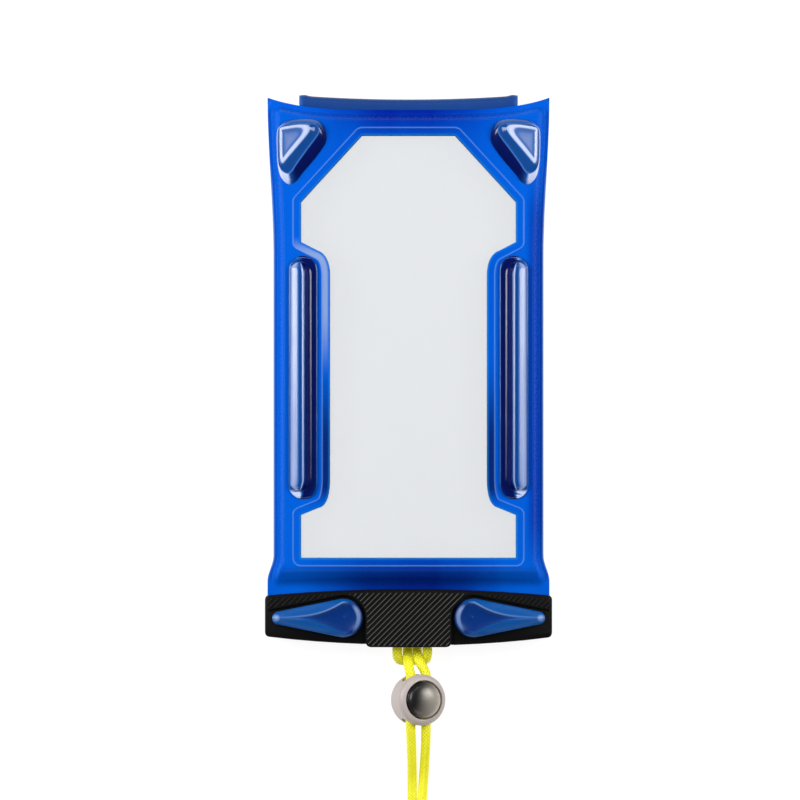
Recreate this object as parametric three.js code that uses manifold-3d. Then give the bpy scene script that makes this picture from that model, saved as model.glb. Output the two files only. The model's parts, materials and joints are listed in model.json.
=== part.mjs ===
// Waterproof phone pouch with a twist-lever clamp and a neck lanyard, lying on its back.
// Millimetres. +X is the pouch's width, +Y is from the clamp to the closed end, +Z is up through the front.
// The origin is on the surface that it lies on, at the middle of its length and width.
import * as THREE from "three";
import { mergeVertices } from "three/addons/utils/BufferGeometryUtils.js";
import Module from "manifold-3d";

const wasm = await Module();
wasm.setup();

// Whole pouch
const overallLength = 220.8;
const clearance = 0.3; // between pieces that seat on each other
const pouch = new THREE.Group();

// Film of the pouch
const filmThick = 0.8;
const windowThick = 0.5;
const windowLap = 3; // clear film welded under the edge of the blue film
const seamLevel = 8; // middle of the welded seam above the surface
const seamWidth = 1.4;
const wallRun = 3.2; // width of the rounded wall between seam and face
const wallCorner = 6;
const frontDepth = 5.05; // front face above the seam
const rearDepth = 6.55; // rear face below the seam
const waistHalf = 54;
const earFlare = 2.4;
const earFlareLength = 65;
const earRise = 5; // tips of the top edge above its middle
const topEdgeInset = 6; // middle of the top edge below the pouch's end
const mouthFlare = 2.4;
const mouthFlareLength = 10;
const mouthShoulder = 24.7; // start of the mouth's flare above the levers' axis
const mouthEnd = 4.5; // open end of the film above the levers' axis
const mouthSlope = 8.4; // length over which the faces close to the clamp
// Points across the film at the mouth, where it has no wall, as shares of the way to the window
const mouthStops = [0.18, 0.32, 0.46];

// Window cut out of the blue film
const windowInset = 16.2; // below the pouch's end
const windowAboveAxis = 23.9; // above the levers' axis
const windowTopHalf = 18.6;
const windowWideHalf = 43;
const windowNarrowHalf = 31.4;
const chamferDrop = 26.6;
const stepStart = 42.6; // below the window's top
const stepSlope = 3.4;
const stepSlopeRun = 6.6;
const stepRound = 10.2;
const footHeight = 17.2; // wide foot of the window
const footSlope = 3;
const footSlopeRun = 7.4;
const footRound = 11.6;

// Air cushions
const sideCushionWidth = 13.4;
const sideCushionHeight = 5.5;
const sideCushionBelowStep = 5.6;
const sideCushionAboveFoot = 6.4;
const cornerPadWidth = 21.7; // foot of the pad, before its corners are rounded
const cornerPadLength = 25.8;
const cornerPadTip = 7; // width of the foot's lower end
const cornerPadRound = 3;
const cornerPadHeight = 4.3;
const cornerPadInset = 4.1; // from the pouch's side
const cornerPadDrop = 7.9; // below the pouch's top edge
const padTopWidth = 12.8;
const padTopLength = 16.8;
const padTopTip = 0.9;
const padTopRound = 0.4;
const padTopInset = 1.3; // from the foot's outer side
const padTopDrop = 2.3;
const bumperHalf = 43.8;
const bumperCrown = 1.6; // ends of the bumper above its middle
const bumperCap = 0.6; // length of its rounded ends
const bumperCapHeight = 0.72; // of its very ends, as a share of the full height

// Clamp
const clampHalf = 57.4;
const axisAboveTab = 11.7; // levers' axis above the end of the grip's tab
const clampTopMid = 11.5; // edges of the bars from the levers' axis
const clampTopEnd = 8.9;
const clampBottomMid = 10.3;
const clampBottomEnd = 7;
const clampCorner = 1.8;
const clampEdge = 0.5; // rounded edge of the bars
const frontBarThick = 4.15;
const gripThick = 1;
const gripRim = 0.8; // bare rim of the front bar around the grip plate
const gripCorner = 2.4;
const ribPitch = 1.6;
const ribWidth = 0.7;
const ribHeight = 0.4;
const ribMargin = 0.25;

// Seal strips in the bars
const sealAboveAxis = 7.1;
const sealHalf = 52;
const sealWidth = 1.8;
const sealDepth = 1.3;

// Levers and their cam shafts
const leverSpread = 26.1; // axis of each lever from the middle
const leverHead = 7.7;
const leverTip = 2.6;
const leverReach = 25.8;
const leverHeight = 3.6;
const leverEdge = 1.8;
const leverDish = 1.3; // depth of the thumb dish
const leverPocket = 1.3; // bare floor of the clamp round a lever
const shaftRadius = 2.5;
const hookLength = 9;
const hookWidth = 3;
const hookThick = 2;
const hookRecess = 0.9; // hook above the clamp's rear face
const hookPocketWall = 0.7; // pocket beyond the turning hook

// Bail for the lanyard in the clamp's rear bar
const bailHalf = 10;
const bailSlot = 5.5;
const bailWidth = 3;
const bailThick = 2.75;
const bailBelowAxis = 7.1; // bail's inner edge

// Lanyard cord
const cordDiameter = 3.6;
const hitchShift = 1.5; // hitch to the right of the middle
const hitchLegs = 3.9; // distance between the legs over the bail
const hitchWidth = 12; // middle of the cord across the hitch's bend
const hitchDrop = 8.6; // bend below the middle of the bail
const coilCentreY = -200;
const coilTurns = 3;
const coilMidRadius = 20;
const coilLift = 0.8; // coil above the surface, on its tie
const cordPitch = 3.7; // spacing of the turns
const tieWidth = 6;
const tieThick = 0.5;

// Cord lock
const lockX = 3.9;
const lockY = -131.5;
const lockTilt = THREE.MathUtils.degToRad(25);
const lockRadius = 10.25;
const lockBack = 8; // depth of the body behind the strands
const lockFront = 5.6;
const lockFloor = 1.4;
const lockRound = 3.5;
const lockRim = 2.45; // width of the rim round the button
const strandSpread = 3.4; // each strand from the lock's axis
const buttonTravel = 2.4;
const buttonWeb = 1.1; // web of the button under the strands
const buttonProud = 0.2; // edge of the button above the rim
const buttonDome = 2.8;
const springWire = 0.6;
const springTurns = 2.5;
const springFoot = 4.6;
const springHead = 2.2;

// Places worked out from the sizes above
const topY = overallLength / 2;
const axisY = -overallLength / 2 + axisAboveTab;
const mouthY = axisY + mouthEnd;
const windowTopY = topY - windowInset;
const windowFootY = axisY + windowAboveAxis;
const stepY = windowTopY - stepStart;
const footY = windowFootY + footHeight;
const topEdgeY = topY - topEdgeInset;
const earHalf = waistHalf + earFlare;
const frontSeam = seamLevel + clearance / 2 + filmThick; // outer faces of the two films at the seam
const rearSeam = seamLevel - clearance / 2 - filmThick;
const frontFace = frontSeam + frontDepth;
const rearFace = rearSeam - rearDepth;
const faceFullY = windowFootY - windowLap - clearance;
const faceFlatY = faceFullY - mouthSlope;
const rearBarTop = rearSeam - clearance;
const frontBarBottom = frontSeam + clearance;
const frontBarTop = frontBarBottom + frontBarThick;
const gripBottom = frontBarTop + clearance;
const sealY = axisY + sealAboveAxis;
const cordRadius = cordDiameter / 2;
const lockBore = lockRadius - lockRim;
const buttonRadius = lockBore - clearance;
const slotHalf = cordRadius + clearance;

// Helpers
function clamped(t) {
  return THREE.MathUtils.clamp(t, 0, 1);
}

function smooth(t) {
  return clamped(t) ** 2 * (3 - 2 * clamped(t));
}

// Turns a closed geometry's faces outwards.
function outward(geometry) {
  const p = geometry.attributes.position;
  const index = geometry.index.array;
  const [a, b, c] = [0, 1, 2].map(() => new THREE.Vector3());
  let volume = 0;
  for (let i = 0; i < index.length; i += 3) {
    a.fromBufferAttribute(p, index[i]);
    b.fromBufferAttribute(p, index[i + 1]);
    c.fromBufferAttribute(p, index[i + 2]);
    volume += a.dot(b.cross(c));
  }
  if (volume < 0) {
    for (let i = 0; i < index.length; i += 3) {
      [index[i + 1], index[i + 2]] = [index[i + 2], index[i + 1]];
    }
  }
  return geometry;
}

function bare(geometry) {
  const loose = geometry.index ? geometry.toNonIndexed() : geometry;
  const only = new THREE.BufferGeometry().setAttribute("position", loose.getAttribute("position"));
  return outward(mergeVertices(only, 1e-4));
}

// Sections are loops of equally many points.
// The skin joins each to the next, with flat ends or closed on itself.
function loft(sections, closed = false) {
  const count = sections[0].length;
  const positions = sections.flat().flatMap((p) => [p.x, p.y, p.z]);
  const index = [];
  const spans = closed ? sections.length : sections.length - 1;
  for (let i = 0; i < spans; i++) {
    const here = i * count;
    const next = ((i + 1) % sections.length) * count;
    for (let j = 0; j < count; j++) {
      const k = (j + 1) % count;
      index.push(here + j, next + j, next + k, here + j, next + k, here + k);
    }
  }
  if (!closed) {
    const last = (sections.length - 1) * count;
    for (let j = 1; j < count - 1; j++) {
      index.push(0, j, j + 1, last, last + j + 1, last + j);
    }
  }
  const geometry = new THREE.BufferGeometry();
  geometry.setAttribute("position", new THREE.Float32BufferAttribute(positions, 3));
  geometry.setIndex(index);
  return outward(geometry);
}

function solid(geometry) {
  const clean = bare(geometry);
  return new wasm.Manifold(
    new wasm.Mesh({
      numProp: 3,
      vertProperties: clean.attributes.position.array,
      triVerts: new Uint32Array(clean.index.array),
    }),
  );
}

function surface(body) {
  const mesh = body.getMesh();
  return new THREE.BufferGeometry()
    .setAttribute("position", new THREE.BufferAttribute(mesh.vertProperties, 3))
    .setIndex(new THREE.BufferAttribute(mesh.triVerts, 1));
}

function cut(geometry, tools) {
  return surface(tools.reduce((body, tool) => body.subtract(solid(tool)), solid(geometry)));
}

function join(geometries) {
  return surface(geometries.map(solid).reduce((all, body) => all.add(body)));
}

function extruded(shape, low, high, edge = 0, curveSegments = 12) {
  const geometry = new THREE.ExtrudeGeometry(shape, {
    depth: high - low - 2 * edge,
    bevelEnabled: edge > 0,
    bevelThickness: edge,
    bevelSize: edge,
    bevelOffset: -edge,
    bevelSegments: 2,
    curveSegments,
  });
  return geometry.translate(0, 0, low + edge);
}

function block(x0, x1, y0, y1, z0, z1) {
  const geometry = new THREE.BoxGeometry(x1 - x0, y1 - y0, z1 - z0);
  return geometry.translate((x0 + x1) / 2, (y0 + y1) / 2, (z0 + z1) / 2);
}

function upright(radius, x, y, low, high, sides = 28) {
  const geometry = new THREE.CylinderGeometry(radius, radius, high - low, sides);
  return geometry.rotateX(Math.PI / 2).translate(x, y, (low + high) / 2);
}

function tube(path, radius, steps, sides = 8) {
  const section = [];
  for (let i = 0; i < sides; i++) {
    const angle = (2 * Math.PI * (i + 0.5)) / sides;
    section.push(new THREE.Vector2(radius * Math.cos(angle), radius * Math.sin(angle)));
  }
  const shape = new THREE.Shape(section);
  return new THREE.ExtrudeGeometry(shape, { steps, extrudePath: path, bevelEnabled: false });
}

function piece(name, geometry, color, roughness, metalness = 0, parent = pouch) {
  const material = new THREE.MeshStandardMaterial({ color, roughness, metalness, flatShading: true });
  const mesh = new THREE.Mesh(bare(geometry), material);
  mesh.name = name;
  parent.add(mesh);
  return mesh;
}

// A piece and its mirror image across the pouch's middle.
function pair(name, geometry, color, roughness, metalness = 0) {
  piece(name + "_right", geometry, color, roughness, metalness);
  piece(name + "_left", geometry, color, roughness, metalness).scale.x = -1;
}

// Finishes
const filmBlue = 0x0450c8;
const cushionBlue = 0x4a7cc4;
const leverBlue = 0x06469a;
const clampBlack = 0x101113;
const cordYellow = 0xe6eb0a;

// Pouch film: a moulded ring round the window, in matched stations of the outer edge and the window's edge
function sideX(y) {
  const ear = smooth((y - (topY - earFlareLength)) / earFlareLength);
  const mouth = smooth((axisY + mouthShoulder - y) / mouthFlareLength);
  return waistHalf + earFlare * ear + mouthFlare * mouth;
}

function topEdge(x) {
  return topEdgeY + earRise * Math.abs(x / earHalf) ** 4;
}

// Distance from the outer edges, with the moulded wall's corner rounded.
function edgeDistance(p) {
  const side = wallCorner - Math.min(sideX(p.y) - Math.abs(p.x), wallCorner);
  const top = wallCorner - Math.min(topEdge(p.x) - p.y, wallCorner);
  return wallCorner - Math.hypot(side, top);
}

const point = (x, y) => new THREE.Vector2(x, y);

function straight(a, b) {
  return (t) => new THREE.Vector2().lerpVectors(a, b, t);
}

function bent(a, control, b) {
  const curve = new THREE.QuadraticBezierCurve(a, control, b);
  return (t) => curve.getPoint(t);
}

function acrossTop(x0, x1) {
  return (t) => point(THREE.MathUtils.lerp(x0, x1, t), topEdge(THREE.MathUtils.lerp(x0, x1, t)));
}

function downSide(y0, y1) {
  return (t) => point(sideX(THREE.MathUtils.lerp(y0, y1, t)), THREE.MathUtils.lerp(y0, y1, t));
}

// The outer edge's point at the height of the window's point.
function level(edge) {
  return (t) => point(sideX(edge(t).y), edge(t).y);
}

const chamferMid = point((windowTopHalf + windowWideHalf) / 2, windowTopY - chamferDrop / 2);
const chamferEnd = point(windowWideHalf, windowTopY - chamferDrop);
const stepOuter = point(windowWideHalf, stepY);
const stepInner = point(windowWideHalf - stepSlopeRun, stepY - stepSlope);
const narrowTop = point(windowNarrowHalf, stepInner.y - stepRound);
const footOuter = point(windowWideHalf, footY);
const footInner = point(windowWideHalf - footSlopeRun, footY + footSlope);
const narrowFoot = point(windowNarrowHalf, footInner.y + footRound);
const footCorner = point(windowWideHalf, windowFootY);
const earPoint = earHalf * 0.45;

const upperBend = bent(stepInner, point(windowNarrowHalf, stepInner.y - stepSlope / 2), narrowTop);
const narrowEdge = straight(narrowTop, narrowFoot);
const lowerBend = bent(narrowFoot, point(windowNarrowHalf, footInner.y + footSlope / 3), footInner);

const halfStations = [
  [2, straight(point(0, windowTopY), point(windowTopHalf, windowTopY)), acrossTop(0, earPoint)],
  [4, straight(point(windowTopHalf, windowTopY), chamferMid), acrossTop(earPoint, earHalf)],
  [4, straight(chamferMid, chamferEnd), downSide(topEdge(earHalf), chamferEnd.y)],
  [1, straight(chamferEnd, stepOuter), level(straight(chamferEnd, stepOuter))],
  [1, straight(stepOuter, stepInner), level(straight(stepOuter, stepInner))],
  [3, upperBend, level(upperBend)],
  [4, narrowEdge, level(narrowEdge)],
  [3, lowerBend, level(lowerBend)],
  [1, straight(footInner, footOuter), level(straight(footInner, footOuter))],
  [5, straight(footOuter, footCorner), downSide(footY, mouthY)],
  [4, straight(footCorner, point(0, windowFootY)), straight(point(sideX(mouthY), mouthY), point(0, mouthY))],
].flatMap(([count, inner, outer]) =>
  Array.from({ length: count }, (_, i) => ({ inner: inner(i / count), outer: outer(i / count) })),
);
halfStations.push({ inner: point(0, windowFootY), outer: point(0, mouthY) });

const mirrored = (p) => point(-p.x, p.y);
const stations = [
  ...halfStations,
  ...halfStations
    .slice(1, -1)
    .reverse()
    .map((s) => ({ inner: mirrored(s.inner), outer: mirrored(s.outer) })),
];

// How far along a station's line the distance from the edges reaches a wanted value.
function reach(station, distance, otherwise) {
  if (edgeDistance(station.outer) >= distance) return otherwise;
  let [low, high] = [0, 1];
  for (let i = 0; i < 30; i++) {
    const middle = (low + high) / 2;
    const p = straight(station.outer, station.inner)(middle);
    if (edgeDistance(p) < distance) low = middle;
    else high = middle;
  }
  return high;
}

// One skin of the film along a station's line.
// depth is the skin's height over the seam, and wall the distance from the edge where its wall starts.
function skin(station, seam, depth, wall) {
  const wallStops = mouthStops.map((otherwise, i) => reach(station, wall + (wallRun * i) / 2, otherwise));
  const faceStops = [1 / 3, 2 / 3, 1].map((share) => THREE.MathUtils.lerp(wallStops.at(-1), 1, share));
  const stops = [0, ...wallStops, ...faceStops];
  return stops.map((t) => {
    const p = straight(station.outer, station.inner)(t);
    const lift = smooth((edgeDistance(p) - wall) / wallRun);
    const open = smooth((p.y - faceFlatY) / (faceFullY - faceFlatY));
    return new THREE.Vector3(p.x, p.y, seam + depth * lift * open);
  });
}

function filmFrame(seam, depth, towards) {
  const sections = stations.map((station) => [
    ...skin(station, seam, towards * depth, seamWidth),
    ...skin(station, seam - towards * filmThick, towards * depth, seamWidth + filmThick).reverse(),
  ]);
  return loft(sections, true);
}

piece("front_frame", filmFrame(frontSeam, frontDepth, 1), filmBlue, 0.3);
piece("rear_frame", filmFrame(rearSeam, rearDepth, -1), filmBlue, 0.3);

// Clear windows, lapped under the blue film's edge
const lapOutline = stations.map(({ inner, outer }) =>
  inner.clone().add(outer.clone().sub(inner).setLength(windowLap)),
);
const windowShape = new THREE.Shape(lapOutline);
const frontWindowTop = frontFace - filmThick - clearance;
const rearWindowBottom = rearFace + filmThick + clearance;
piece("front_window", extruded(windowShape, frontWindowTop - windowThick, frontWindowTop), 0xdfe4e8, 0.1);
piece("rear_window", extruded(windowShape, rearWindowBottom, rearWindowBottom + windowThick), 0xdfe4e8, 0.1);

// Side cushions: the section runs from the outer foot over the broad face and the crest to the inner foot.
// Each end closes in: distance from the end as a share of the width, and share of the full section.
const sideCushionSection = [
  [0, 0],
  [0.05, 0.46],
  [0.12, 0.66],
  [0.36, 0.94],
  [0.52, 1],
  [0.63, 0.9],
  [0.83, 0.24],
  [0.93, 0.16],
  [1, 0],
];
const sideCushionEnds = [
  [0, 0.3],
  [0.09, 0.66],
  [0.24, 0.92],
  [0.52, 1],
];

function sideCushion() {
  const outer = waistHalf - seamWidth - wallRun - clearance / 2;
  const base = frontFace + clearance;
  const [low, high] = [footY + sideCushionAboveFoot, stepY - sideCushionBelowStep];
  const stops = [
    ...sideCushionEnds.map(([inset, share]) => [low + inset * sideCushionWidth, share]),
    [(low + high) / 2, 1],
    ...sideCushionEnds.map(([inset, share]) => [high - inset * sideCushionWidth, share]).reverse(),
  ];
  return loft(
    stops.map(([y, share]) =>
      sideCushionSection.map(
        ([across, up]) =>
          new THREE.Vector3(
            outer - sideCushionWidth * across * share,
            y,
            base + sideCushionHeight * up * share,
          ),
      ),
    ),
  );
}

pair("side_cushion", sideCushion(), cushionBlue, 0.2);

// Corner cushions: three-sided pads that rise from a rounded foot over a shoulder to a small flat top
function roundedOutline(corners, radius, steps) {
  return corners.flatMap((corner, i) => {
    const before = corners[(i + corners.length - 1) % corners.length];
    const after = corners[(i + 1) % corners.length];
    const start = corner.clone().add(before.clone().sub(corner).setLength(radius));
    const end = corner.clone().add(after.clone().sub(corner).setLength(radius));
    return new THREE.QuadraticBezierCurve(start, corner, end).getPoints(steps);
  });
}

// Across the side from foot to top: share of the way in and share of the height.
const cornerPadSide = [
  [0, 0],
  [0.04, 0.14],
  [0.16, 0.28],
  [0.34, 0.58],
  [0.62, 0.78],
  [1, 1],
];

function cornerPad() {
  const x = earHalf - cornerPadInset;
  const y = topEdge(x) - cornerPadDrop;
  const lean = cornerPadTip / 8; // the outer side follows the pouch's side, which closes in below the ear
  const foot = [
    point(x, y),
    point(x - cornerPadWidth, y + lean),
    point(x - lean - cornerPadTip, y - cornerPadLength),
    point(x - lean, y - cornerPadLength),
  ];
  const topX = x - padTopInset;
  const topSideY = y - padTopDrop;
  const top = [
    point(topX, topSideY),
    point(topX - padTopWidth, topSideY + lean / 2),
    point(topX - padTopTip, topSideY - padTopLength),
    point(topX, topSideY - padTopLength),
  ];
  const outer = roundedOutline(foot, cornerPadRound, 3);
  const inner = roundedOutline(top, padTopRound, 3);
  const base = frontFace + clearance;
  return loft(
    cornerPadSide.map(([share, up]) =>
      outer.map((p, i) => {
        const moved = p.clone().lerp(inner[i], share);
        return new THREE.Vector3(moved.x, moved.y, base + cornerPadHeight * up);
      }),
    ),
  );
}

pair("corner_cushion", cornerPad(), cushionBlue, 0.2);

// Rear bumper: a bar under the top seam that follows its curve
const bumperSection = [
  [0, 0.14],
  [0, 0.9],
  [0.1, 1],
  [0.62, 1],
  [0.86, 0.86],
  [1, 0.55],
  [0.97, 0.2],
  [0.84, 0],
  [0.1, 0],
];
const bumperSteps = 10;

function bumper() {
  const height = rearSeam - clearance;
  const body = bumperHalf - bumperCap;
  const stops = [-bumperHalf];
  for (let i = 0; i <= bumperSteps; i++) {
    stops.push(body * ((2 * i) / bumperSteps - 1));
  }
  stops.push(bumperHalf);
  return loft(
    stops.map((x) => {
      const share = x / bumperHalf;
      const inner = topEdge(x) - seamWidth + clearance;
      const outer = topY - bumperCrown * (1 - share ** 2);
      const full = Math.abs(share) === 1 ? bumperCapHeight : 1;
      return bumperSection.map(([across, up]) => {
        const y = inner + (outer - inner) * (1 - (1 - across) * full);
        return new THREE.Vector3(x, y, up * height * full);
      });
    }),
  );
}

piece("rear_top_cushion", bumper(), filmBlue, 0.2);

// Clamp bars: one curved outline for both
function clampShape() {
  const outline = new THREE.Shape();
  const inner = clampHalf - clampCorner;
  const crown = (mid, end) => mid - (mid - end) * (inner / clampHalf) ** 2;
  const [top, bottom] = [crown(clampTopMid, clampTopEnd), crown(clampBottomMid, clampBottomEnd)];
  outline.moveTo(-inner, axisY + top);
  outline.quadraticCurveTo(0, axisY + 2 * clampTopMid - top, inner, axisY + top);
  outline.quadraticCurveTo(clampHalf, axisY + clampTopEnd, clampHalf, axisY + clampTopEnd - clampCorner);
  outline.lineTo(clampHalf, axisY - clampBottomEnd + clampCorner);
  outline.quadraticCurveTo(clampHalf, axisY - clampBottomEnd, inner, axisY - bottom);
  outline.quadraticCurveTo(0, axisY - 2 * clampBottomMid + bottom, -inner, axisY - bottom);
  const lowCorner = axisY - clampBottomEnd;
  outline.quadraticCurveTo(-clampHalf, lowCorner, -clampHalf, lowCorner + clampCorner);
  outline.lineTo(-clampHalf, axisY + clampTopEnd - clampCorner);
  outline.quadraticCurveTo(-clampHalf, axisY + clampTopEnd, -inner, axisY + top);
  return outline;
}

const sealGrooveHalf = sealWidth / 2 + clearance;
const sealGrooveDepth = sealDepth + clearance;
const bailInnerY = axisY - bailBelowAxis;
const bailOuterY = bailInnerY - bailWidth;
const bailBottom = rearBarTop - bailThick;
const hookPocket = hookLength / 2 + hookPocketWall;
const hookTop = hookRecess + hookThick;
const below = -1; // start of a cut below the clamp's rear face

function sealGroove(low, high) {
  const half = sealHalf + clearance;
  return block(-half, half, sealY - sealGrooveHalf, sealY + sealGrooveHalf, low, high);
}

function frontBar() {
  const notchHalf = bailHalf + clearance;
  const notchTop = bailInnerY + bailSlot;
  const openings = [
    sealGroove(frontBarBottom + below, frontBarBottom + sealGrooveDepth),
    block(-notchHalf, notchHalf, -overallLength, notchTop, frontBarBottom + below, frontBarTop - below),
  ];
  for (const x of [-leverSpread, leverSpread]) {
    openings.push(upright(shaftRadius + clearance, x, axisY, frontBarBottom + below, frontBarTop - below));
  }
  return cut(extruded(clampShape(), frontBarBottom, frontBarTop, clampEdge), openings);
}

function rearBar() {
  const slotX = hookWidth / 2 + clearance;
  const slotY = hookLength / 2 + clearance;
  const openings = [
    sealGroove(rearBarTop - sealGrooveDepth, rearBarTop - below),
    block(-bailHalf, bailHalf, bailInnerY, bailInnerY + bailSlot, below, rearBarTop - below),
    block(-bailHalf, bailHalf, -overallLength, bailInnerY + clearance, below, bailBottom),
    block(-bailHalf, bailHalf, -overallLength, bailOuterY, below, rearBarTop - below),
  ];
  for (const x of [-leverSpread, leverSpread]) {
    openings.push(upright(hookPocket, x, axisY, below, hookTop + clearance));
    openings.push(upright(shaftRadius + clearance, x, axisY, below, rearBarTop - below));
    openings.push(block(x - slotX, x + slotX, axisY - slotY, axisY + slotY, below, rearBarTop - below));
  }
  return cut(extruded(clampShape(), 0, rearBarTop, clampEdge), openings);
}

piece("clamp_front_bar", frontBar(), clampBlack, 0.45);
piece("clamp_rear_bar", rearBar(), clampBlack, 0.5);

const [sealLow, sealHigh] = [sealY - sealWidth / 2, sealY + sealWidth / 2];
const sealFront = block(-sealHalf, sealHalf, sealLow, sealHigh, frontBarBottom, frontBarBottom + sealDepth);
const sealRear = block(-sealHalf, sealHalf, sealLow, sealHigh, rearBarTop - sealDepth, rearBarTop);
piece("seal_strip_front", sealFront, 0x3a3d42, 0.8);
piece("seal_strip_rear", sealRear, 0x3a3d42, 0.8);

// Grip plate: the clamp's outline inside a bare rim, cut back round the levers, with a tab below
const gripEnd = clampHalf - gripRim;
const pocketAngle = Math.acos((leverHead - leverTip) / leverReach);
const pocketHead = leverHead + leverPocket;
const pocketTip = leverTip + leverPocket;

// The plate's outline, moved in by inset for the ribbed field.
function gripShape(inset) {
  const outline = new THREE.Shape();
  const head = pocketHead + inset;
  const tip = pocketTip + inset;
  const end = gripEnd - inset;
  const middle = axisY + clampTopMid - gripRim - inset;
  const top = (x) => middle - (clampTopMid - clampTopEnd) * (x / clampHalf) ** 2;
  const rise = Math.tan(Math.PI / 2 - pocketAngle);
  const tipX = leverSpread + leverReach + tip * Math.cos(pocketAngle);
  const tipY = axisY + tip * Math.sin(pocketAngle);
  const endY = tipY - (end - tipX) * rise;
  const corner = gripCorner - inset / 2;
  const half = leverSpread - head;
  const tabY = axisY - axisAboveTab + inset;
  outline.moveTo(-end, top(end));
  outline.quadraticCurveTo(0, 2 * top(0) - top(end), end, top(end));
  outline.lineTo(end, endY);
  outline.absarc(leverSpread, axisY, head, pocketAngle, Math.PI, false);
  outline.lineTo(half, tabY + corner);
  outline.quadraticCurveTo(half, tabY, half - corner, tabY);
  outline.lineTo(-half + corner, tabY);
  outline.quadraticCurveTo(-half, tabY, -half, tabY + corner);
  outline.absarc(-leverSpread, axisY, head, 0, Math.PI - pocketAngle, false);
  outline.lineTo(-end, endY);
  outline.closePath();
  return outline;
}

function gripRibs(top) {
  const sunk = gripThick / 4;
  const span = 2 * (clampHalf + axisAboveTab);
  const length = 4 * (clampTopMid + axisAboveTab);
  const count = Math.floor(span / ribPitch);
  const profile = new THREE.Shape([
    point(-ribWidth / 2, -sunk),
    point(ribWidth / 2, -sunk),
    point(ribWidth / 5, ribHeight),
    point(-ribWidth / 5, ribHeight),
  ]);
  const ribs = Array.from({ length: count }, (_, i) => {
    const rib = new THREE.ExtrudeGeometry(profile, { depth: length, bevelEnabled: false });
    rib.rotateX(Math.PI / 2).translate(((i + 0.5) / count - 0.5) * span, length / 2, top);
    return rib.rotateZ(-Math.PI / 4).translate(0, axisY, 0);
  });
  const field = extruded(gripShape(ribMargin), top - 2 * sunk, top + 2 * ribHeight);
  return surface(ribs.map(solid).reduce((all, rib) => all.add(rib)).intersect(solid(field)));
}

const gripTop = gripBottom + gripThick;
const gripPlate = extruded(gripShape(0), gripBottom, gripTop);
piece("clamp_grip_plate", join([gripPlate, gripRibs(gripTop)]), 0x15161a, 0.5);

// Levers: sections along a teardrop, each with an edge, a ridge and a thumb dish between the ridges
const leverSlope = (leverHead - leverTip) / leverReach;
const leverFair = Math.sqrt(1 - leverSlope ** 2);

function leverHalfWidth(x) {
  const arc = (radius, along) => Math.sqrt(Math.max(radius ** 2 - along ** 2, 0));
  if (x < leverHead * leverSlope) return arc(leverHead, x);
  if (x > leverReach + leverTip * leverSlope) return arc(leverTip, x - leverReach);
  return (leverHead - x * leverSlope) / leverFair;
}

function leverSection(x) {
  const half = Math.max(leverHalfWidth(x), 0.35);
  const along = clamped(x / leverReach);
  const round = clamped(half / (along < 0.5 ? leverHead : leverTip));
  const crest = leverEdge + (leverHeight - leverEdge) * smooth(round * 1.6);
  const ridge = half * THREE.MathUtils.lerp(0.86, 0.34, smooth(along * 1.5));
  const dish = crest - leverDish * smooth(round * 1.2) * (1 - smooth(along * 1.25 - 0.2));
  const side = [
    [half - 0.3, 0],
    [half, 0.5],
    [half, leverEdge * 0.7],
    [ridge, crest],
    [ridge * 0.6, (crest + dish) / 2 - 0.12],
  ];
  const profile = [...side, [0, dish], ...side.map(([y, z]) => [-y, z]).reverse()];
  return profile.map(([y, z]) => new THREE.Vector3(x, y, z));
}

function lever() {
  const stops = [];
  for (let i = 0; i < 7; i++) {
    stops.push(-leverHead * Math.cos((i / 7) * (Math.PI / 2)) * 0.998);
  }
  for (let i = 0; i < 7; i++) {
    stops.push((leverReach * i) / 7);
  }
  for (let i = 0; i < 5; i++) {
    stops.push(leverReach + leverTip * Math.sin((i / 4) * (Math.PI / 2)) * 0.998);
  }
  return loft(stops.map(leverSection));
}

pair("lever", lever().translate(leverSpread, axisY, gripBottom), leverBlue, 0.3);

// Cam shafts: through both bars to a hook that draws the rear bar up, across the bar's slot when shut
function camShaft() {
  return join([
    upright(shaftRadius, leverSpread, axisY, hookRecess, frontBarTop),
    block(
      leverSpread - hookLength / 2,
      leverSpread + hookLength / 2,
      axisY - hookWidth / 2,
      axisY + hookWidth / 2,
      hookRecess,
      hookTop,
    ),
  ]);
}

pair("cam_shaft", camShaft(), 0x8d9298, 0.4, 0.8);

// Cord lock, built about its axis and laid back on the edge of its body
const lock = new THREE.Group();
const floorLevel = -lockBack + lockFloor;
const webLevel = -slotHalf - buttonWeb;

function lathed(profile, sides) {
  return new THREE.LatheGeometry(profile.map(([r, a]) => point(r, a)), sides).rotateX(Math.PI / 2);
}

const lockProfile = [[0, -lockBack]];
for (let i = 0; i <= 4; i++) {
  const angle = (i / 4) * (Math.PI / 2);
  lockProfile.push([
    lockRadius - lockRound + lockRound * Math.sin(angle),
    -lockBack + lockRound - lockRound * Math.cos(angle),
  ]);
}
lockProfile.push(
  [lockRadius, lockFront - 2],
  [lockRadius - 0.4, lockFront - 0.9],
  [lockRadius - 1.1, lockFront - 0.2],
  [lockBore + 0.8, lockFront],
  [lockBore, lockFront - 0.4],
  [lockBore, floorLevel],
  [0, floorLevel],
);
const lockLow = lockProfile.map(([r, a]) => a * Math.cos(lockTilt) - r * Math.sin(lockTilt));
const lockLift = -Math.min(...lockLow);
const slotReach = strandSpread + slotHalf;
lock.position.set(lockX, lockY, lockLift + clearance / 2);
lock.rotation.y = lockTilt;
pouch.add(lock);

const lockSlot = block(-slotReach, slotReach, -2 * lockRadius, 2 * lockRadius, -slotHalf, slotHalf);
piece("lock_body", cut(lathed(lockProfile, 36), [lockSlot]), 0xb9b0aa, 0.5, 0, lock);

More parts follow.
